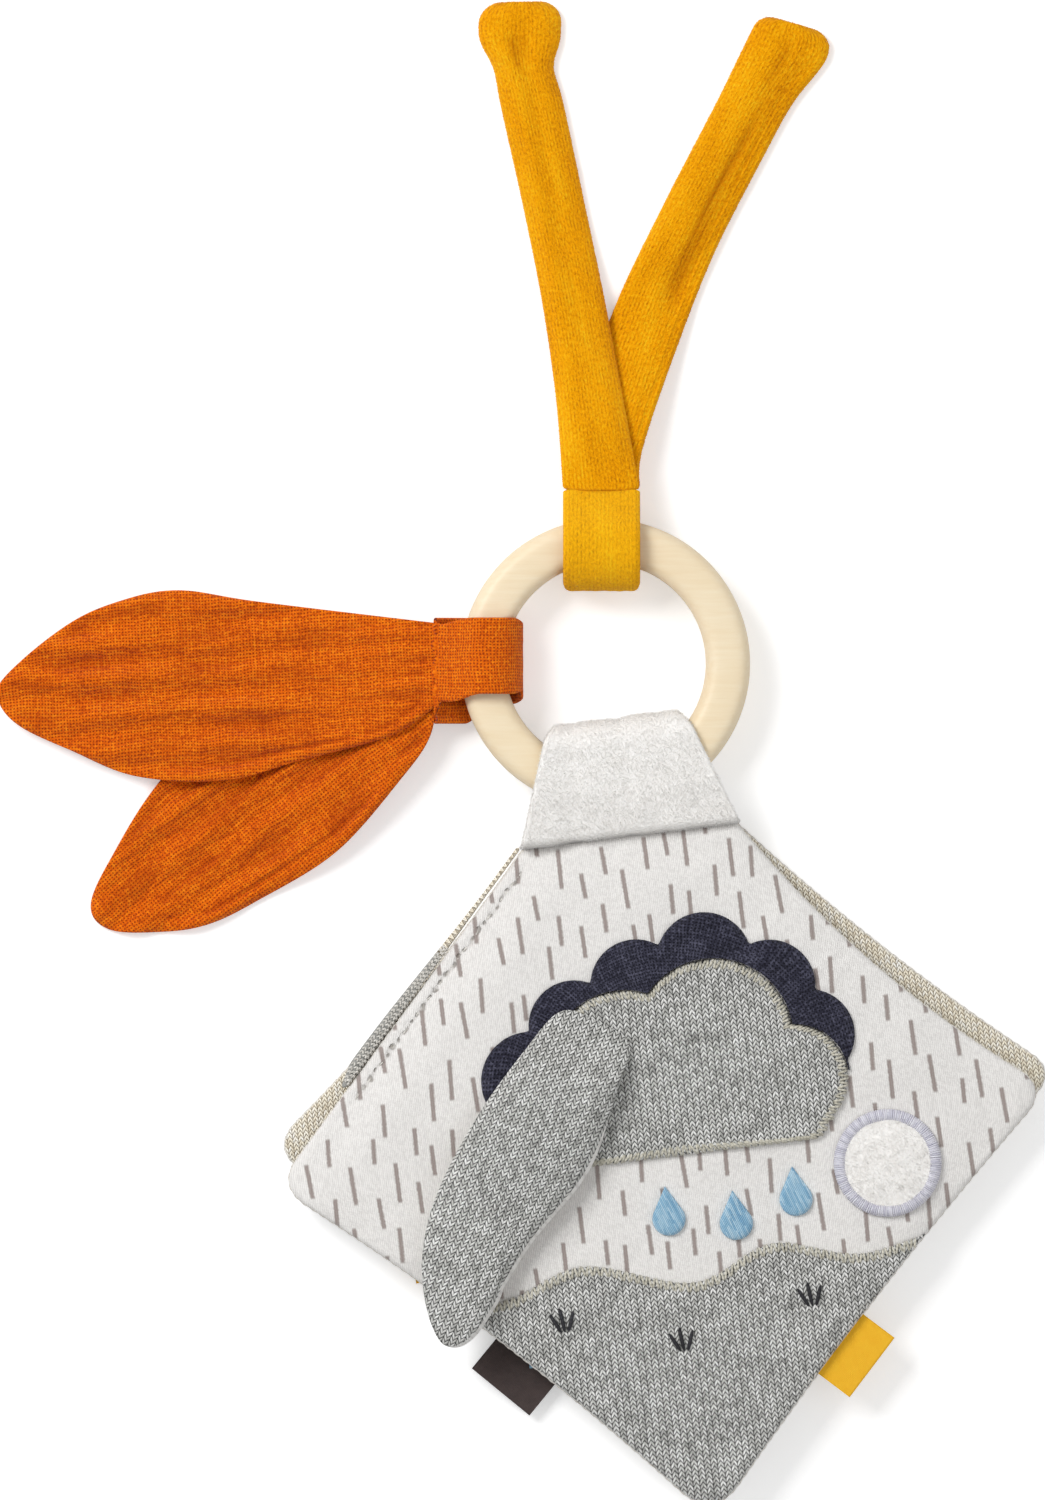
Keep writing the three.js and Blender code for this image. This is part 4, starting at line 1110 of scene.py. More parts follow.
sewn_patch("moon", MOON + unit_circle * (MOON_RADIUS - 0.4), MOON, 1.5, M_PLUSH, "moon_patch",
           np.concatenate([[0, 0.3, 0.8], np.arange(1.3, 12.4, 0.45)]), extra=moon_crown)
dress(pile("moon_pile", "moon", *MOON_FIBRES, M_PLUSH, (0.2, -0.4, 0), 93), "front_leaf")
section = np.linspace(0, math.pi, 14)
ridge_count = 128
fine = np.linspace(0, 2 * math.pi, ridge_count * 8, endpoint=False)
ridge = np.abs(np.cos(fine * ridge_count / 2))[:, None]
reach = MOON_RADIUS - MOON_BORDER / 2 + (MOON_BORDER / 2 + 0.12 * (ridge - 0.5)) * np.cos(section)
bx, by = MOON[0] + np.cos(fine)[:, None] * reach, MOON[1] + np.sin(fine)[:, None] * reach
hump = 0.45 + (1.35 + 0.2 * ridge) * np.sin(section)
ground = cover_height(bx, by)
border, under = xyz(bx, by, ground + hump)[::-1], xyz(bx, by, ground + 0.3)[::-1]
border_cloth = xyz(fine[:, None] * MOON_RADIUS, reach, 0)[::-1]
at = np.arange(reach.size).reshape(reach.shape)
nxt = np.roll(at, -1, 0)
quads = np.stack([at[:, :-1], at[:, 1:], nxt[:, 1:], nxt[:, :-1]], -1).reshape(-1, 4)
sides = np.stack([at, nxt, nxt + at.size, at + at.size], -1)
faces = [*quads, *(quads[:, ::-1] + at.size), *sides[:, 0], *sides[:, -1, ::-1]]
border_cloth = flat_points(border_cloth, border_cloth)
dress(make("moon_border", flat_points(border, under), faces, [M_SATIN_WHITE], border_cloth), "front_leaf")

# Three embroidered drops
DROP_RADIUS = 4.0
for i, (x0, y0) in enumerate([(-2, -22), (14, -25), (29, -21)]):
    angle = np.radians(np.linspace(150, 390, 60))
    bowl = np.column_stack([x0 + DROP_RADIUS * np.cos(angle), y0 + DROP_RADIUS * np.sin(angle)])
    tip = np.array([[x0, y0 + 2 * DROP_RADIUS]])
    outline = resample(np.concatenate([bowl, tip]), 120, closed=True)
    sewn_patch(f"drop_{i + 1}", outline, np.array([x0, y0 + 0.4]), TOTAL_APPLIQUE, M_BLUE,
               f"rain_drop_{i + 1}", np.array([0, 0.15, 0.4, 0.8, 1.3, 1.9, 2.6, 3.3]), 0.0)

# Tufts of black thread on the hill
starts, ends = [], []
for tuft_x, tuft_y in ((-30, -46), (-2, -54), (30, -47)):
    for lean, long in ((-0.5, 4.6), (-0.1, 5.8), (0.35, 4.8)):
        foot = np.array([tuft_x + lean * 2, tuft_y])
        head = foot + np.array([lean * long, long])
        for store, spot in ((starts, foot), (ends, head)):
            store.append([*spot, float(cover_height(*spot)) + TOTAL_APPLIQUE + 0.1])
grass = threads("grass_stitches", starts, ends, 0.48, M_BLACK, 0.35, sides=8, steps=9)
dress(grass, "front_leaf")

# Stuffed drop-shaped flap
FLAP_POINTS = [(0, -9.3), (9, -12.6), (30, -16.6), (52, -17.6), (68, -14.6), (80, -8), (86.6, 0), (82, 5),
               (70, 6.8), (55, 8.4), (33, 13), (10, 11), (0, 8.8)]
FLAP_MIDDLE = np.array([46.0, -3.5])
FLAP_LEAN = FLAP_ANGLE - math.radians(2.3)
FLAP_Z = FRONT_SEAM + HALF_GAP + PANEL_RISE + CROWN_RISE + 2 * CLEARANCE + APPLIQUE + FLAP_BELLY


def from_flap(points):
    p = np.array(points, float)
    c, s = math.cos(FLAP_LEAN), math.sin(FLAP_LEAN)
    x, y = p[..., 0] * c - p[..., 1] * s + FLAP_END[0], p[..., 0] * s + p[..., 1] * c + FLAP_END[1]
    return np.stack([x, y, p[..., 2]], -1)


def rounded_end(line, cut):
    """Closes an open outline with a straight edge whose two corners are rounded."""
    run = run_of(line)
    kept = line[(run > cut) & (run < run[-1] - cut)]
    edge = unit(line[0] - line[-1]) * cut
    t = np.linspace(0, 1, 12)[:, None]
    return np.concatenate([kept, bezier(kept[-1], line[-1], line[-1] + edge, t)[1:],
                           bezier(line[0] - edge, line[0], kept[0], t)[:-1]])


flap_ring = resample(rounded_end(spline(FLAP_POINTS, 400), 4.0), 420, closed=True)
flap_shares = np.concatenate([[1, 0.995, 0.985, 0.97, 0.95], np.linspace(0.92, 0.04, 34)])
flap_at = FLAP_MIDDLE + (flap_ring - FLAP_MIDDLE)[None] * flap_shares[:, None, None]
fx, fy = flap_at[..., 0], flap_at[..., 1]
swell = np.sqrt(np.clip(1 - flap_shares ** 2, 0, 1))[:, None]
near_end = 1 - smooth(fx / 14)
wrinkle = (0.22 * waves(fx, fy, 8, 101, stretch=2.5) + 0.3 * waves(fx, fy, 22, 102)) * swell
flap_base = FLAP_Z - 2.1 * near_end + 1.5 * smooth(fy / 8) * bell(fx, 18, 14)
crown = (FLAP_RIM * 0.4 + (FLAP_CROWN - FLAP_RIM * 0.4) * swell ** 0.9 + wrinkle) * (1 - 0.62 * near_end)
belly = (FLAP_RIM * 0.4 + (FLAP_BELLY - FLAP_RIM * 0.4) * swell ** 0.9) * (1 - 0.85 * near_end)
lining = 0.75 * smooth(fy / 4) * smooth((fx - 16) / 14) * (1 - smooth((1 - flap_shares[:, None]) / 0.12))


def fill_flap(ring, middle, reach, bulge):
    """The solver's movement of a stuffed closed pad, for its upper and its lower side."""
    rows, count = len(reach), len(ring)
    at = middle + (ring - middle)[None] * reach[:, None, None]
    round_up = np.sqrt(1 - reach ** 2)[:, None] * bulge * smooth((at[..., 0] + 2) / 14)
    upper, lower = (np.dstack([at, sign * round_up]) for sign in (1, -1))
    points = np.concatenate([upper.reshape(-1, 3), upper[-1].mean(0, keepdims=True),
                             lower[1:].reshape(-1, 3), lower[-1].mean(0, keepdims=True)])
    offset = (rows - 1) * count + 1
    faces = disc_faces(rows, count, 0, False)
    under = [f + offset for f in disc_faces(rows, count, 0, True)]
    faces += [np.where(f < offset + count, f - offset, f) for f in under]
    sewn = np.zeros(len(points), bool)
    sewn[:count] = at[0, :, 0] < 2
    moved = settled(points, faces, sewn, FLAP_PRESSURE, FLAP_SLACK) - points
    top_moved = moved[:rows * count].reshape(rows, count, 3)
    low_moved = moved[rows * count + 1:-1].reshape(rows - 1, count, 3)
    return top_moved, np.concatenate([top_moved[:1], low_moved])


FLAP_LEAST, FLAP_MOST = [-0.4, -0.4, -0.3], [0.4, 0.4, 0.9]
FLAP_REACH = np.array([1, 0.97, 0.91, 0.83, 0.73, 0.62, 0.5, 0.38, 0.26, 0.14])
upper_moved, lower_moved = fill_flap(flap_ring[::3], FLAP_MIDDLE, FLAP_REACH, 0.85 * FLAP_CROWN)
flap_row = np.interp(-flap_shares, -FLAP_REACH, np.arange(len(FLAP_REACH)))[:, None] + 0 * fx
flap_column = np.arange(len(flap_ring))[None] / 3 + 0 * fx
upper_moved, lower_moved = (np.clip(sample(moved, flap_row, flap_column), FLAP_LEAST, FLAP_MOST)
                            for moved in (upper_moved, lower_moved))
top = xyz(fx, fy, flap_base + crown) + upper_moved
bottom = xyz(fx + 0.3 * lining, fy + lining, flap_base - belly) + lower_moved
flap_cloth = xyz(fy, fx, swell)
flap = disc_shell("drop_pocket", from_flap(top), from_flap(bottom), [M_GREY, M_PLAIN], flap_cloth, under=1)
flap_way = np.array([math.cos(FLAP_ANGLE), math.sin(FLAP_ANGLE)])
flap_bend = ("front_leaf", "flap", metres([*(FLAP_END + flap_way * 0.5), FLAP_Z]),
             metres([*(FLAP_END + flap_way * 9), FLAP_Z]))
dress(flap, flap_bend, ("drop_flap",))


# Tags and felt squares
def edge_place(edge, along):
    """A place on a leaf's edge, the way along the edge there and the way out of the leaf."""
    start, middle, end = edge
    tangent = unit(2 * (1 - along) * (middle - start) + 2 * along * (end - middle))
    return bezier(start, middle, end, along), tangent, np.array([tangent[1], -tangent[0]])


def folded_tag(name, edge, along, length, height, material, body, node):
    """A ribbon folded in half, its two plies sewn into the seam and its fold outside."""
    thickness, ply, sink, width = 1.0, 0.34, 1.5, 18.0
    spot, tangent, outward = edge_place(edge, along)
    reach = CLEARANCE + length
    flat = np.linspace(-sink, reach - thickness / 2, 34)
    bend = np.linspace(0, math.pi, 13)[1:-1]
    radius = thickness / 2 - ply / 2
    far = reach - thickness / 2
    path = np.concatenate([
        np.column_stack([flat, np.full_like(flat, radius)]),
        np.column_stack([far + radius * np.sin(bend), radius * np.cos(bend)]),
        np.column_stack([flat[::-1], np.full_like(flat, -radius)])])
    way = unit(np.gradient(path, axis=0))
    normal = np.column_stack([-way[:, 1], way[:, 0]])
    side = np.linspace(-width / 2, width / 2, 40)
    curl = 0.12 * np.sin(side / 5)[None] * np.clip(path[:, :1] / reach, 0, 1)
    skins = []
    for offset in (ply / 2, -ply / 2):
        p = path + normal * offset
        xy = spot + outward * p[:, :1]
        x, y = (xy[:, k:k + 1] + tangent[k] * side for k in (0, 1))
        skins.append(xyz(x, y, height + p[:, 1:] + curl))
    piece = grid_shell(name, *skins, material, xyz(side[None], run_of(path)[:, None], 0))
    return dress(piece, body, (node,))


folded_tag("yellow_label", front.edges[2], 0.372, 9.3, FRONT_SEAM, M_YELLOW, "front_leaf",
           "side_tag")
folded_tag("brown_label", back.edges[1], 0.61, 13.2, BACK_SEAM, M_BROWN, "back_leaf",
           "care_tag")
PAGE_PATCH, PATCH_HEIGHT, PATCH_PEEK = 13.0, 6.8, 1.0
for name, along, material, slot, node in (
        ("yellow_square", 0.29, M_YELLOW, "yellow_ribbon", "yellow_patch"),
        ("blue_square", 0.586, M_BLUE, "blue_thread", "blue_patch")):
    spot, tangent, outward = edge_place(front.edges[1], along)
    centre = spot + outward * (PATCH_PEEK - PAGE_PATCH * math.sqrt(0.5))
    a = np.linspace(0, 1, 24)
    square = np.stack(np.meshgrid(a - 0.5, a - 0.5, indexing="ij"), -1) * PAGE_PATCH
    diagonal = (tangent + outward) / math.sqrt(2)
    other = np.array([-diagonal[1], diagonal[0]])
    xy = centre + square[..., :1] * diagonal + square[..., 1:] * other
    rim = PAGE_PATCH / 2 - np.abs(square).max(-1)
    half = 0.5 * (0.5 + 0.5 * quarter(rim / 0.8))
    skins = [xyz(xy[..., 0], xy[..., 1], PATCH_HEIGHT + rise) for rise in (half, -half)]
    piece = grid_shell(name, *skins, material, xyz(square[..., 0], square[..., 1], 0))
    dress(piece, "back_leaf", (node,))


# Loops round the ring, and the tab
def hull(points):
    p = sorted(map(tuple, np.round(points, 9)))

    def half(chain_of):
        chain = []
        for q in chain_of:
            while len(chain) > 1:
                (ax, ay), (bx, by) = chain[-2:]
                if (bx - ax) * (q[1] - ay) - (by - ay) * (q[0] - ax) > 1e-9:
                    break
                chain.pop()
            chain.append(q)
        return chain[:-1]
    return np.array(half(p) + half(p[::-1]))


def circle(x, y, radius, steps=96):
    a = np.linspace(0, 2 * math.pi, steps, endpoint=False)
    return np.column_stack([x + radius * np.cos(a), y + radius * np.sin(a)])


def loop_path(circles, neck, height, ply, count):
    """The middle line of a folded strip: from the lower neck point round the loop to the upper one."""
    ends = [(neck, height - ply / 2), (neck, height + ply / 2)]
    outer = hull(np.concatenate([circle(x, z, r) for x, z, r in circles] + [ends]))
    start = np.argmin(np.hypot(outer[:, 0] - neck, outer[:, 1] - (height - ply / 2)))
    line = np.roll(outer, -start, 0)
    end = np.argmin(np.hypot(line[:, 0] - neck, line[:, 1] - (height + ply / 2)))
    line = line[:end + 1] if end > 2 else np.concatenate([line[:1], line[1:][::-1]])
    return resample(line, count)


def nose_round(y, nearest, corner):
    """How much narrower a strip is near its fold, for rounded corners."""
    past = np.clip(nearest + corner - y, 0, corner)
    return corner - np.sqrt(corner ** 2 - past ** 2)


def strip(name, path, ply, edges, axes, material, frame_of, uneven, body, node, columns=60, tone=0.0):
    """A folded strip of cloth whose side view is a path; edges gives where its two sides are.

    Axes are the axis across the strip, the axis along it, and the sign of that one. Tone is the cloth's third
    value; below 0 the velour shader paints it as light.
    """
    tangent = unit(np.gradient(path, axis=0))
    normal = np.column_stack([tangent[:, 1], -tangent[:, 0]])
    run = run_of(path)[:, None]
    t = np.sin(np.linspace(-math.pi / 2, math.pi / 2, columns))
    share = 0.55 * t + 0.45 * np.linspace(-1, 1, columns)
    first, last = edges(path)
    half_width = (last - first)[:, None] / 2
    x = (first + last)[:, None] / 2 + share[None] * half_width
    from_edge = (1 - np.abs(share))[None] * half_width
    half = ply / 2 * np.maximum(quarter(from_edge / (ply * 0.6)), 0.12)
    rough = uneven(x, run)
    skins = []
    for sign in (1, -1):
        offset = sign * half + rough * np.minimum(from_edge / 1.5, 1) * (1 if sign > 0 else 0.2)
        p = path[:, None] + normal[:, None] * offset[..., None]
        spots = np.zeros((*x.shape, 3))
        spots[..., axes[0]] = x
        spots[..., axes[1]] = p[..., 0] * axes[2]
        spots[..., 2] = p[..., 1]
        skins.append(spots)
    if axes[0] == 0:
        top, bottom, cloth = (layer[::-1] for layer in (*skins, xyz(x, run, tone)))
    else:
        top, bottom, cloth = *skins, xyz(run, x, tone)
    return dress(grid_shell(name, top, bottom, material, cloth, frame_of), body, (node,))


tab_start = TOP_EDGE + CLEARANCE
channel_near = tab_start + TAB_NECK + CHANNEL_RADIUS
channel_far = tab_start + TAB_LENGTH - TAB_PLY - CHANNEL_RADIUS
tab_top = RING_HEIGHT + CHANNEL_RADIUS + TAB_PLY / 2
tab_path = loop_path([(tab_start + 1.9, tab_top - 2.5, 1.3),
                      (channel_near, RING_HEIGHT, CHANNEL_RADIUS + TAB_PLY / 2),
                      (channel_far, RING_HEIGHT, CHANNEL_RADIUS + TAB_PLY / 2)],
                     tab_start + 0.4, TAB_NECK_HEIGHT, TAB_PLY, 220)


def tab_edges(path):
    share = (path[:, 0] - tab_start) / TAB_LENGTH
    wide = TAB_HALF_WIDTH + (TAB_FOLD_HALF_WIDTH - TAB_HALF_WIDTH) * np.clip(share, 0, 1)
    wide = wide - 0.8 * nose_round(-path[:, 0], -tab_start - TAB_LENGTH, TAB_CORNER)
    return -wide, wide


def tab_unevenness(x, run):
    """Plush gives way in soft folds down its length."""
    dents = 0.3 * bell(x, 0.6, 1.6) + 0.2 * bell(x, -8 - 0.1 * run, 2.4)
    return 0.12 * waves(x, run, 13, 112) - dents


tab_bend = ("back_leaf", "tab", metres([0, TOP_EDGE + 1, TAB_NECK_HEIGHT]),
            metres([0, TOP_EDGE + 8, TAB_NECK_HEIGHT]))
strip("tab_loop", tab_path, TAB_PLY, tab_edges, (0, 1, 1), M_PLUSH, from_book, tab_unevenness,
      tab_bend, "plush_tab", 90)
dress(pile("tab_pile", "tab_loop", *TAB_FIBRES, M_PLUSH, (0, -0.5, 0), 113), tab_bend)


def loop_bore(half_width, offset):
    inner = math.sqrt((RING_RADIUS - RING_BAND / 2) ** 2 - (half_width + abs(offset)) ** 2)
    outer = RING_RADIUS + RING_BAND / 2
    swing = math.hypot((outer - inner) / 2 - RING_EDGE, RING_THICKNESS / 2 - RING_EDGE) + RING_EDGE
    return swing + CLEARANCE, (outer + inner) / 2


strap_bore, strap_pivot = loop_bore(STRAP_HALF_WIDTH, STRAP_SIDE)
muslin_bore, muslin_pivot = loop_bore(MUSLIN_HALF_WIDTH, MUSLIN_SIDE)
strap_path = loop_path([(strap_pivot, RING_HEIGHT, strap_bore + STRAP_PLY / 2),
                        (strap_pivot - STRAP_SLACK, RING_HEIGHT, strap_bore + STRAP_PLY / 2)],
                       strap_pivot + STRAP_NECK - 0.2, RING_HEIGHT, STRAP_PLY + CLEARANCE, 170)


def strap_edges(path):
    wide = STRAP_HALF_WIDTH - nose_round(path[:, 0], strap_path[:, 0].min() - STRAP_PLY / 2, 2.4)
    return STRAP_SIDE - wide, STRAP_SIDE + wide


def strap_unevenness(x, run):
    from_fold = np.abs(run - run.max() / 2)
    wrap = 0.3 * bell(from_fold, 0, 8) * waves(x, run, 3, 125, 10)
    return wrap + 0.14 * waves(x, run, 5, 121, 9) + 0.05 * np.sin(x * 2 * math.pi / 1.9)


# tone=-0.45 has the velour shader paint the whole fold and its nap lighter: painted light.
strip("strap_fold", strap_path, STRAP_PLY, strap_edges, (0, 1, 1), M_VELOUR, from_ring, strap_unevenness,
      "strap_loop", "strap_loop", tone=-0.45)
strap_nap = pile("strap_nap", "strap_fold", *STRAP_FIBRES, M_VELOUR, (0, -0.5, 0), 123, 0.45, RING_HEIGHT)
dress(strap_nap, "strap_loop")
muslin_path = loop_path([(muslin_pivot, RING_HEIGHT, muslin_bore + MUSLIN_PLY / 2)],
                        muslin_pivot + MUSLIN_NECK + 0.4, RING_HEIGHT, MUSLIN_PLY + CLEARANCE, 170)


def band_folds(x, run):
    from_neck = np.minimum(run, run.max() - run)
    gathers = 0.5 * np.exp(-from_neck / 7) * np.sin(2 * math.pi * x / 3.6 + 0.8 * np.sin(run / 4))
    return gathers + 0.16 * waves(x, run, 5, 131, 8, 3) + 0.06 * waves(x, run, 1.6, 132, 8, 3)


def band_edges(path):
    """The upper ply is drawn together at its neck, and its lower edge rides up over the ring."""
    over = smooth((path[:, 1] - RING_HEIGHT) / 2)
    from_neck = path[:, 0].max() - path[:, 0]
    wide = MUSLIN_HALF_WIDTH - nose_round(path[:, 0], path[:, 0].min() - MUSLIN_PLY / 2, 2.6)
    lifted = over * 2.4 * smooth((from_neck - 3) / 8)
    pinched = 1.7 * (1 - smooth(from_neck / 9))
    sagging = 4.8 * (1 - over) * (1 - smooth((from_neck - 7) / 7))
    return MUSLIN_SIDE - wide + lifted + over * pinched * 0.4 - sagging, MUSLIN_SIDE + wide - over * pinched


strip("muslin_fold", muslin_path, MUSLIN_PLY, band_edges, (1, 0, -1), M_ORANGE, from_ring, band_folds,
      "muslin_band", "muslin_band")

neck_x = -(muslin_pivot + MUSLIN_NECK + 0.1)
neck_y = MUSLIN_SIDE + np.linspace(-9.8, 9.0, 90)
neck_line = np.column_stack([neck_x + 0.35 * np.sin(neck_y * 1.1), neck_y,
                             RING_HEIGHT + 1.05 + 0.25 * np.sin(neck_y * 1.75)])
dress(tube("neck_seam", neck_line, 0.85, M_ORANGE, from_ring, sides=14), "muslin_band")

# Strap arms: flattened velour tubes
stitch_line = strap_pivot + STRAP_NECK
arm_start = stitch_line + CLEARANCE
back_arm_base = RING_HEIGHT - CLEARANCE / 2 - STRAP_PLY


def back_arm_height(y):
    return LOWEST + (back_arm_base - LOWEST) * (1 - smooth((y - arm_start - 4) / DROP_RUN))


def front_arm_height(y):
    apart = smooth((y - arm_start - ARM_PARTING) / ARM_SETTLE)
    return back_arm_height(y) + (STRAP_PLY + CLEARANCE) * (1 - apart)


def velour_arm(name, right, left, end_round, height, bodies, node, seed, stacked, form):
    """Stacked is how far it lies under or on the other arm; form gives its own creases."""
    at = 0.95 + 0.05 * np.sin(np.linspace(0, math.pi / 2, 36))[1:]
    at = np.concatenate([np.linspace(0, 0.95, 195), at])
    rows = len(at)
    both = []
    for points in (right, left):
        line = resample(spline(points, 300), 300) + [0, arm_start]
        both.append(np.column_stack([np.interp(at, np.linspace(0, 1, 300), line[:, k]) for k in (0, 1)]))
    middle, half = (both[0] + both[1]) / 2, (both[0] - both[1]) / 2
    length = run_of(middle)
    from_end = length[-1] - length
    closing = np.maximum(quarter(from_end / end_round), 0.04)
    corner = end_round * (1 - closing) + 1.4 * (1 - quarter(length / 1.4))
    narrower = 1 - corner / np.linalg.norm(half, axis=1)
    around = np.linspace(0, 2 * math.pi, 64, endpoint=False)
    c, s = np.cos(around), np.sin(around)
    wide = np.sign(c) * np.abs(c) ** 0.7
    deep = np.sign(s) * np.abs(s) ** 0.75
    spread = narrower[:, None] * wide[None]
    x = middle[:, :1] + half[:, :1] * spread
    y = middle[:, 1:] + half[:, 1:] * spread
    lie = height(y)
    side, down = wide[None] * STRAP_HALF_WIDTH, length[:, None]
    free = smooth((length - stacked) / 12)[:, None]
    swell = (0.35 + 1.15 * free) * np.sqrt(np.clip(1 - wide[None] ** 2, 0, 1))
    relief = form(side, down, from_end[:, None])
    bumps = 0.2 * waves(side, down, 9, seed, 9, 2.5) + 0.1 * waves(side, down, 2.2, seed + 1, 12, 1.5)
    rise = STRAP_PLY / 2 * (1 + deep[None] * (0.3 + 0.7 * closing)[:, None])
    rise = rise + np.maximum(deep, 0)[None] * (swell + relief + bumps * smooth(length / 8)[:, None])
    points = xyz(x, y, lie + np.maximum(rise, 0.02)).reshape(-1, 3)
    sides = len(around)
    caps = np.stack([points[:sides].mean(0), points[-sides:].mean(0)])
    start = fan_faces(0, sides, rows * sides)[:, [1, 0, 2]]
    faces = [*band_faces(rows, sides), *start, *fan_faces((rows - 1) * sides, sides, rows * sides + 1)]
    # The cloth's third value is painted shade: the velour is darkened where the form sinks into creases,
    # dimples and hollows.
    cloth = xyz(side, length[:, None], np.clip(-relief / 1.8, 0, 1)).reshape(-1, 3)
    cloth = np.concatenate([cloth, [cloth[0], cloth[-1]]])
    piece = make(name, np.concatenate([points, caps]), faces, [M_VELOUR], cloth, from_ring)
    bend = (*bodies, metres([STRAP_SIDE, stitch_line, RING_HEIGHT], from_ring),
            metres([STRAP_SIDE, stitch_line + 7, RING_HEIGHT], from_ring))
    dress(piece, bend, (node,))
    nap = pile(f"{name}_nap", name, *ARM_FIBRES, M_VELOUR, (0.1, 0.5, 0), seed)
    return dress(nap, bend)


def right_arm_form(side, down, from_end):
    crease = bell(side, 0.9 + 1.6 * np.sin(down / 31), 0.6) * smooth((down - 45) / 12) * smooth(from_end / 9)
    groove = bell(side, 3.6 + 0.8 * np.sin(down / 23), 0.6) * smooth((down - 40) / 12)
    groove = groove * smooth((from_end - 22) / 9)
    beads = 0.75 + 0.25 * np.sin(2 * math.pi * down / 1.3)
    ribs = 0.32 * beads * np.sin(2 * math.pi * side / 2.0) * smooth((side + 2) / 3)
    ribs = ribs * smooth((from_end - 14) / 12)
    hollow = smooth((side - 0.4) / 1.5) * (1 - smooth((side - 5.5) / 3)) * smooth((down - 40) / 15)
    hollow = hollow * smooth(from_end / 14)
    return ribs - 0.9 * crease - 0.6 * groove - 0.5 * hollow


def left_arm_form(side, down, from_end):
    dimple = bell(side, -0.4, 2.6) * bell(from_end, 11, 6.5)
    bulb = bell(from_end, 4.5, 4.0)
    crease = bell(side, 0.5, 1.3) * smooth((down - 20) / 30) * smooth((from_end - 14) / 12)
    pleat = bell(side, -1.6, 0.7) * bell(from_end, 12, 6)
    other = bell(side, 1.4, 0.6) * bell(from_end, 9, 5)
    return 0.6 * bulb - 0.75 * dimple - 0.35 * crease - 0.5 * pleat - 0.45 * other


velour_arm(
    "arm_right",
    [(8.4, 0), (9, 10), (16.9, 33.4), (26.4, 57.5), (38.7, 81.6), (45.4, 93.7), (53.4, 104.2), (54.0, 110.6)],
    [(-10.2, 0), (-9.4, 6), (-5, 23), (2.7, 45.4), (14.3, 69.6), (26.8, 93.7), (31.6, 103.5), (37.4, 115.4)],
    3.4, back_arm_height, ("strap_loop", "strap_arm_back"), "strap_arm_back", 141, 52, right_arm_form)
velour_arm(
    "arm_left",
    [(8.4, 0), (6, 13), (0, 45.5), (-5, 69.7), (-10.1, 93.8), (-12.4, 102.5), (-10.8, 109.5), (-10.6, 118.4)],
    [(-10.2, 0), (-11.8, 21.4), (-15.2, 45.5), (-20, 69.7), (-25, 92), (-27, 102), (-30.4, 109.5),
     (-30.2, 118)],
    5.0, front_arm_height, ("strap_arm_back", "strap_arm_front"), "strap_arm_front", 151, 4, left_arm_form)

# The row of stitches that closes the strap's fold
starts, ends = [], []
for s in np.arange(-8.6, 8.3, 1.9):
    z = RING_HEIGHT + CLEARANCE / 2 + STRAP_PLY + 0.12
    starts.append([STRAP_SIDE + s, stitch_line - 1.2, z])
    ends.append([STRAP_SIDE + s + 1.2, stitch_line - 1.2, z])
dress(threads("strap_stitches", starts, ends, 0.22, M_VELOUR, 0.1, from_ring), "strap_loop")

# Muslin leaves
leaf_start = muslin_pivot + MUSLIN_NECK + CLEARANCE
lower_base = RING_HEIGHT - CLEARANCE / 2 - MUSLIN_PLY


def leaf_fade(x):
    return smooth((-x - leaf_start) / DROP_RUN)


def leaf_floor(x):
    return lower_base + (LOWEST - lower_base) * leaf_fade(x)


def folds(x, across, shift):
    return FOLD_HEIGHT * leaf_fade(x) * (0.5 + 0.5 * np.sin(2 * math.pi * (across + shift) / FOLD_PITCH))


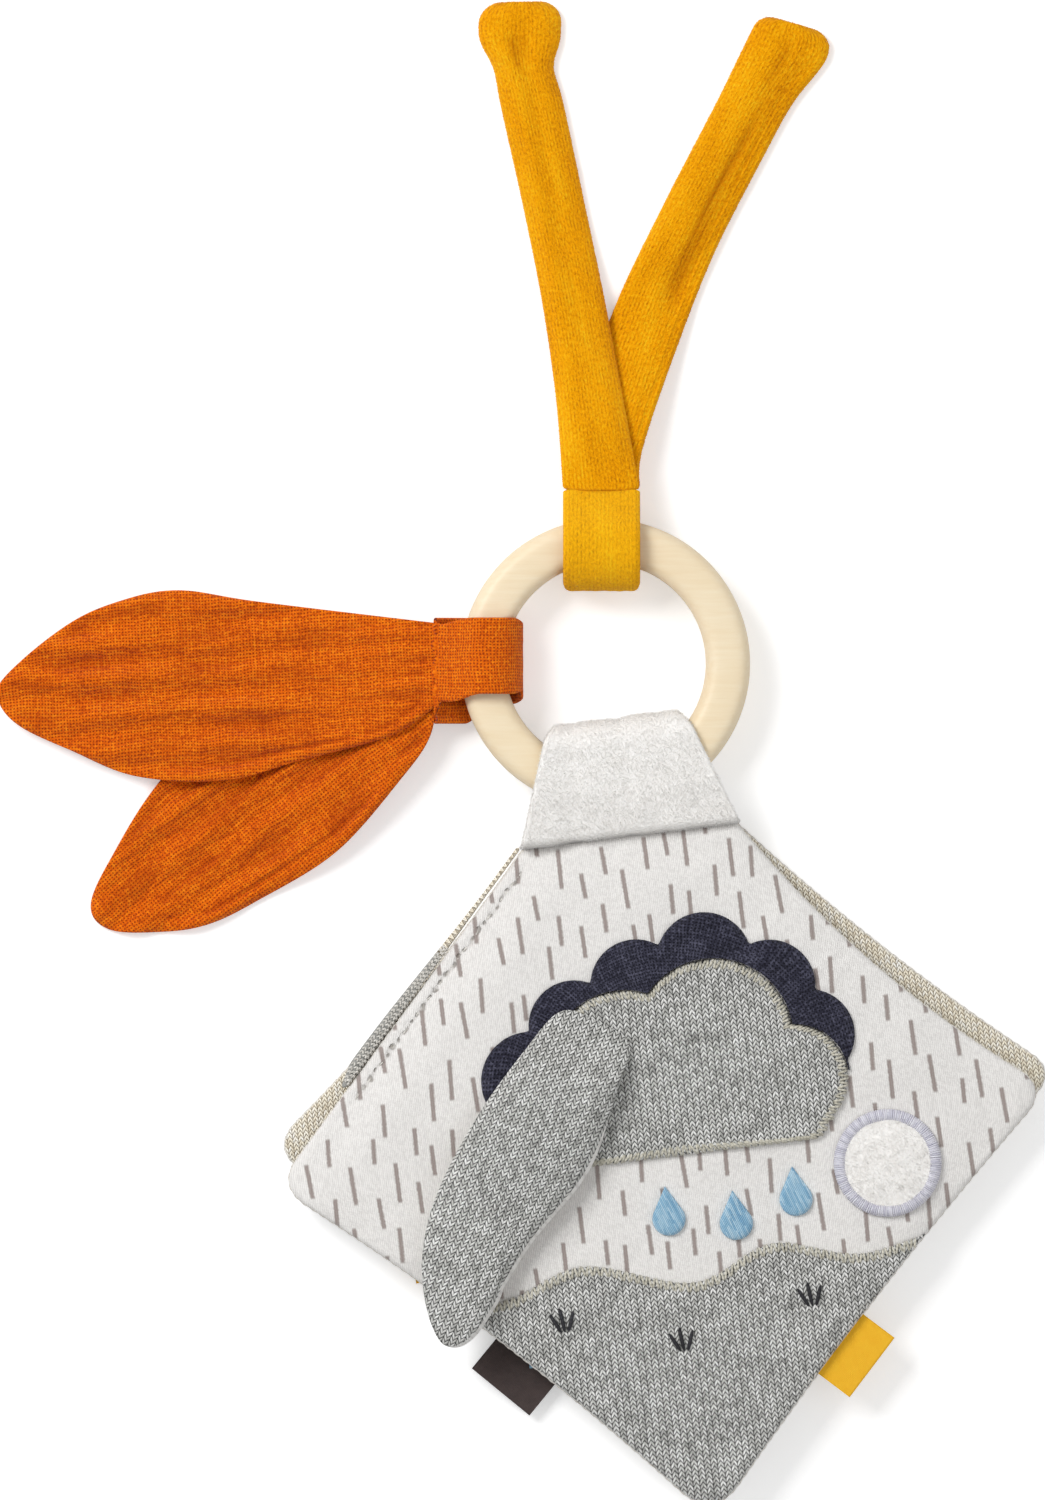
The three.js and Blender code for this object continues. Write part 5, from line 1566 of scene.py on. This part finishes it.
def muslin_leaf(name, points, centre, angle, height, bodies, node, seed):
    line = spline(np.array(points, float) - [leaf_start, 0], 500)
    line = np.concatenate([line, np.linspace(line[-1], line[0], 30)[1:-1]])
    middle = np.array(centre, float) - [leaf_start, 0]
    ring = resample(line, 420, closed=True)
    shares = np.concatenate([[1, 0.994, 0.985, 0.97, 0.95], np.linspace(0.92, 0.02, 46)])
    at = middle + (ring - middle)[None] * shares[:, None, None]
    x, y = at[..., 0], at[..., 1]
    turn = math.radians(angle)
    origin = np.array([10 - leaf_start, MUSLIN_SIDE])
    across = -(x - origin[0]) * math.sin(turn) + (y - origin[1]) * math.cos(turn)
    along = (x - origin[0]) * math.cos(turn) + (y - origin[1]) * math.sin(turn)
    size = np.linalg.norm(ring - middle, axis=1)[None]
    edge = (1 - shares)[:, None] * size * 0.8
    low = height(x, across)
    inner = smooth(edge / 3)
    line = waves(across, along * 0.22, 9, seed + 3, 8)
    other = waves(across, along * 0.3, 6, seed + 4, 8)
    creases = -0.3 * bell(line, 0, 0.3) - 0.2 * bell(other, 0, 0.22)
    gathers = 0.45 * np.exp(-np.clip(-x - leaf_start, 0, 99) / 14) * np.sin(2 * math.pi * across / 4.2)
    creases = creases + gathers * smooth((-x - leaf_start) / 3)
    soft = 0.42 * waves(across, along * 0.3, 7, seed, 9) + 0.08 * waves(across, along * 0.5, 2.2, seed + 1, 9)
    hem = 0.7 * (bell(edge, 1.4, 0.9) - bell(edge, 3.2, 0.6))
    hem = hem * smooth((middle[1] + 4 - y) / 5) * smooth((x + leaf_start + 74) / 20)
    fine = (creases + soft) * inner + hem
    pucker = 0.18 * np.exp(-edge / 3) * waves(ring[None, :, 0], ring[None, :, 1], 3.2, seed + 2, 9)
    thin = quarter(edge / 1.3)
    middle_height = low + MUSLIN_PLY / 2
    half = MUSLIN_PLY / 2 * np.maximum(thin, 0.15)
    top = xyz(x, y, middle_height + half + fine + pucker * thin)
    # The cloth's third value is painted shade that the folded muslin lays in the fold valleys.
    cloth = xyz(across, along, np.clip(-fine / 0.9, 0, 1))
    piece = disc_shell(name, top, xyz(x, y, middle_height - half), [M_ORANGE], cloth, from_ring)
    bend = (*bodies, metres([0.2 - leaf_start, MUSLIN_SIDE, RING_HEIGHT], from_ring),
            metres([-7 - leaf_start, MUSLIN_SIDE, RING_HEIGHT], from_ring))
    return dress(piece, bend, (node,))


muslin_leaf("leaf_lower", [
    (0.3, -9.7), (-1.5, -18), (-7.8, -27.2), (-23.8, -45.3), (-43.3, -57.4), (-55, -63), (-66, -64.8),
    (-79, -64.2), (-83.4, -58), (-77.6, -45.3), (-68, -30), (-52, -12), (-28, 2), (0.3, 8.5)],
    (-44, -31), 217, lambda x, across: leaf_floor(x) + folds(x, across, 0),
    ("muslin_band", "muslin_leaf_lower"), "muslin_leaf_lower", 161)
muslin_leaf("leaf_upper", [
    (0.3, -10.2), (-11, -17.4), (-32.7, -23.4), (-51, -28.2), (-72.3, -27.2), (-88, -21), (-100.3, -15.2),
    (-105.6, -9.1), (-104, -3), (-89.7, 9), (-76.9, 15), (-62.3, 17.8), (-42.6, 15), (0.3, 9.8)],
    (-56, -4), 183,
    lambda x, across: (leaf_floor(x) + MUSLIN_PLY + CLEARANCE + FOLD_HEIGHT * leaf_fade(x)
                       + folds(x, across, 2)),
    ("muslin_leaf_lower", "muslin_leaf_upper"), "muslin_leaf_upper", 171)

# Wooden ring, turned smooth
ring_turns, ring_steps = 240, 48
a = np.linspace(0, 2 * math.pi, ring_turns, endpoint=False)
q = np.linspace(0, 2 * math.pi, ring_steps, endpoint=False)
sx, sz = np.cos(q), np.sin(q)
section_r = (RING_BAND / 2 - RING_EDGE) * np.tanh(sx * 5) + RING_EDGE * sx
section_z = (RING_THICKNESS / 2 - RING_EDGE) * np.tanh(sz * 5) + RING_EDGE * sz
radius = RING_RADIUS + section_r[None]
points = xyz(np.cos(a)[:, None] * radius, np.sin(a)[:, None] * radius, RING_HEIGHT + section_z)
faces = band_faces(ring_turns, ring_steps, True)[:, [0, 3, 2, 1]]
ring = make("ring_turned", points.reshape(-1, 3), faces, [M_WOOD], None, from_ring)
dress(ring, "ring", ("wooden_ring",))

# Floor, light and camera
FLOOR, TABLE_COLOUR, TABLE_GLOW = -0.0002, (0.9, 0.9, 0.9, 1), 0.36
WORLD_STRENGTH, LIGHT_TARGET = 0.42, (-0.03, 0.09, 0)
floor = bpy.data.objects.new("floor", bpy.data.meshes.new("floor"))
floor.data.from_pydata([(-3, -3, FLOOR), (3, -3, FLOOR), (3, 3, FLOOR), (-3, 3, FLOOR)], [], [(0, 1, 2, 3)])
bpy.context.scene.collection.objects.link(floor)
table = Shade("white_table", 0.9, 0.0, 0.1)
glow = table.node("ShaderNodeLightPath", {}, "Is Camera Ray") * TABLE_GLOW
table_inputs = {"Base Color": TABLE_COLOUR, "Emission Color": (1, 1, 1, 1), "Emission Strength": glow}
for key, value in table_inputs.items():
    table.plug(value, table.shader.inputs[key])
floor.data.materials.append(table.material)

world = bpy.data.worlds.new("studio")
world.use_nodes = True
world.node_tree.nodes["Background"].inputs["Color"].default_value = (1, 1, 1, 1)
world.node_tree.nodes["Background"].inputs["Strength"].default_value = WORLD_STRENGTH
bpy.context.scene.world = world


def area_light(name, place, size, energy):
    data = bpy.data.lights.new(name, "AREA")
    data.shape = "SQUARE"
    data.size = size
    data.energy = energy
    lamp = bpy.data.objects.new(name, data)
    bpy.context.scene.collection.objects.link(lamp)
    lamp.location = place
    way = np.array(LIGHT_TARGET) - np.array(place)
    tilt = math.acos(-way[2] / np.linalg.norm(way))
    lamp.rotation_euler = (tilt, 0, math.atan2(way[1], way[0]) - math.pi / 2)


area_light("key", (-0.75, 0.66, 1.05), 0.6, 12.5)
area_light("fill", (0.9, -0.2, 1.3), 1.4, 5.0)

CAMERA_AT, FOCUS_HEIGHT, FRAME_HEIGHT, CAMERA_LENS = (-0.0346, 0.0910), 0.008, 0.3621, 420
camera_data = bpy.data.cameras.new("camera")
camera_data.sensor_fit = "VERTICAL"
camera_data.sensor_height = 36
camera_data.lens = CAMERA_LENS
camera = bpy.data.objects.new("camera", camera_data)
bpy.context.scene.collection.objects.link(camera)
camera.location = (*CAMERA_AT, FOCUS_HEIGHT + FRAME_HEIGHT * CAMERA_LENS / camera_data.sensor_height)
camera.rotation_euler = (0, 0, 0)
camera_data.clip_end = 20
bpy.context.scene.camera = camera
bpy.context.scene.view_settings.view_transform = "Standard"
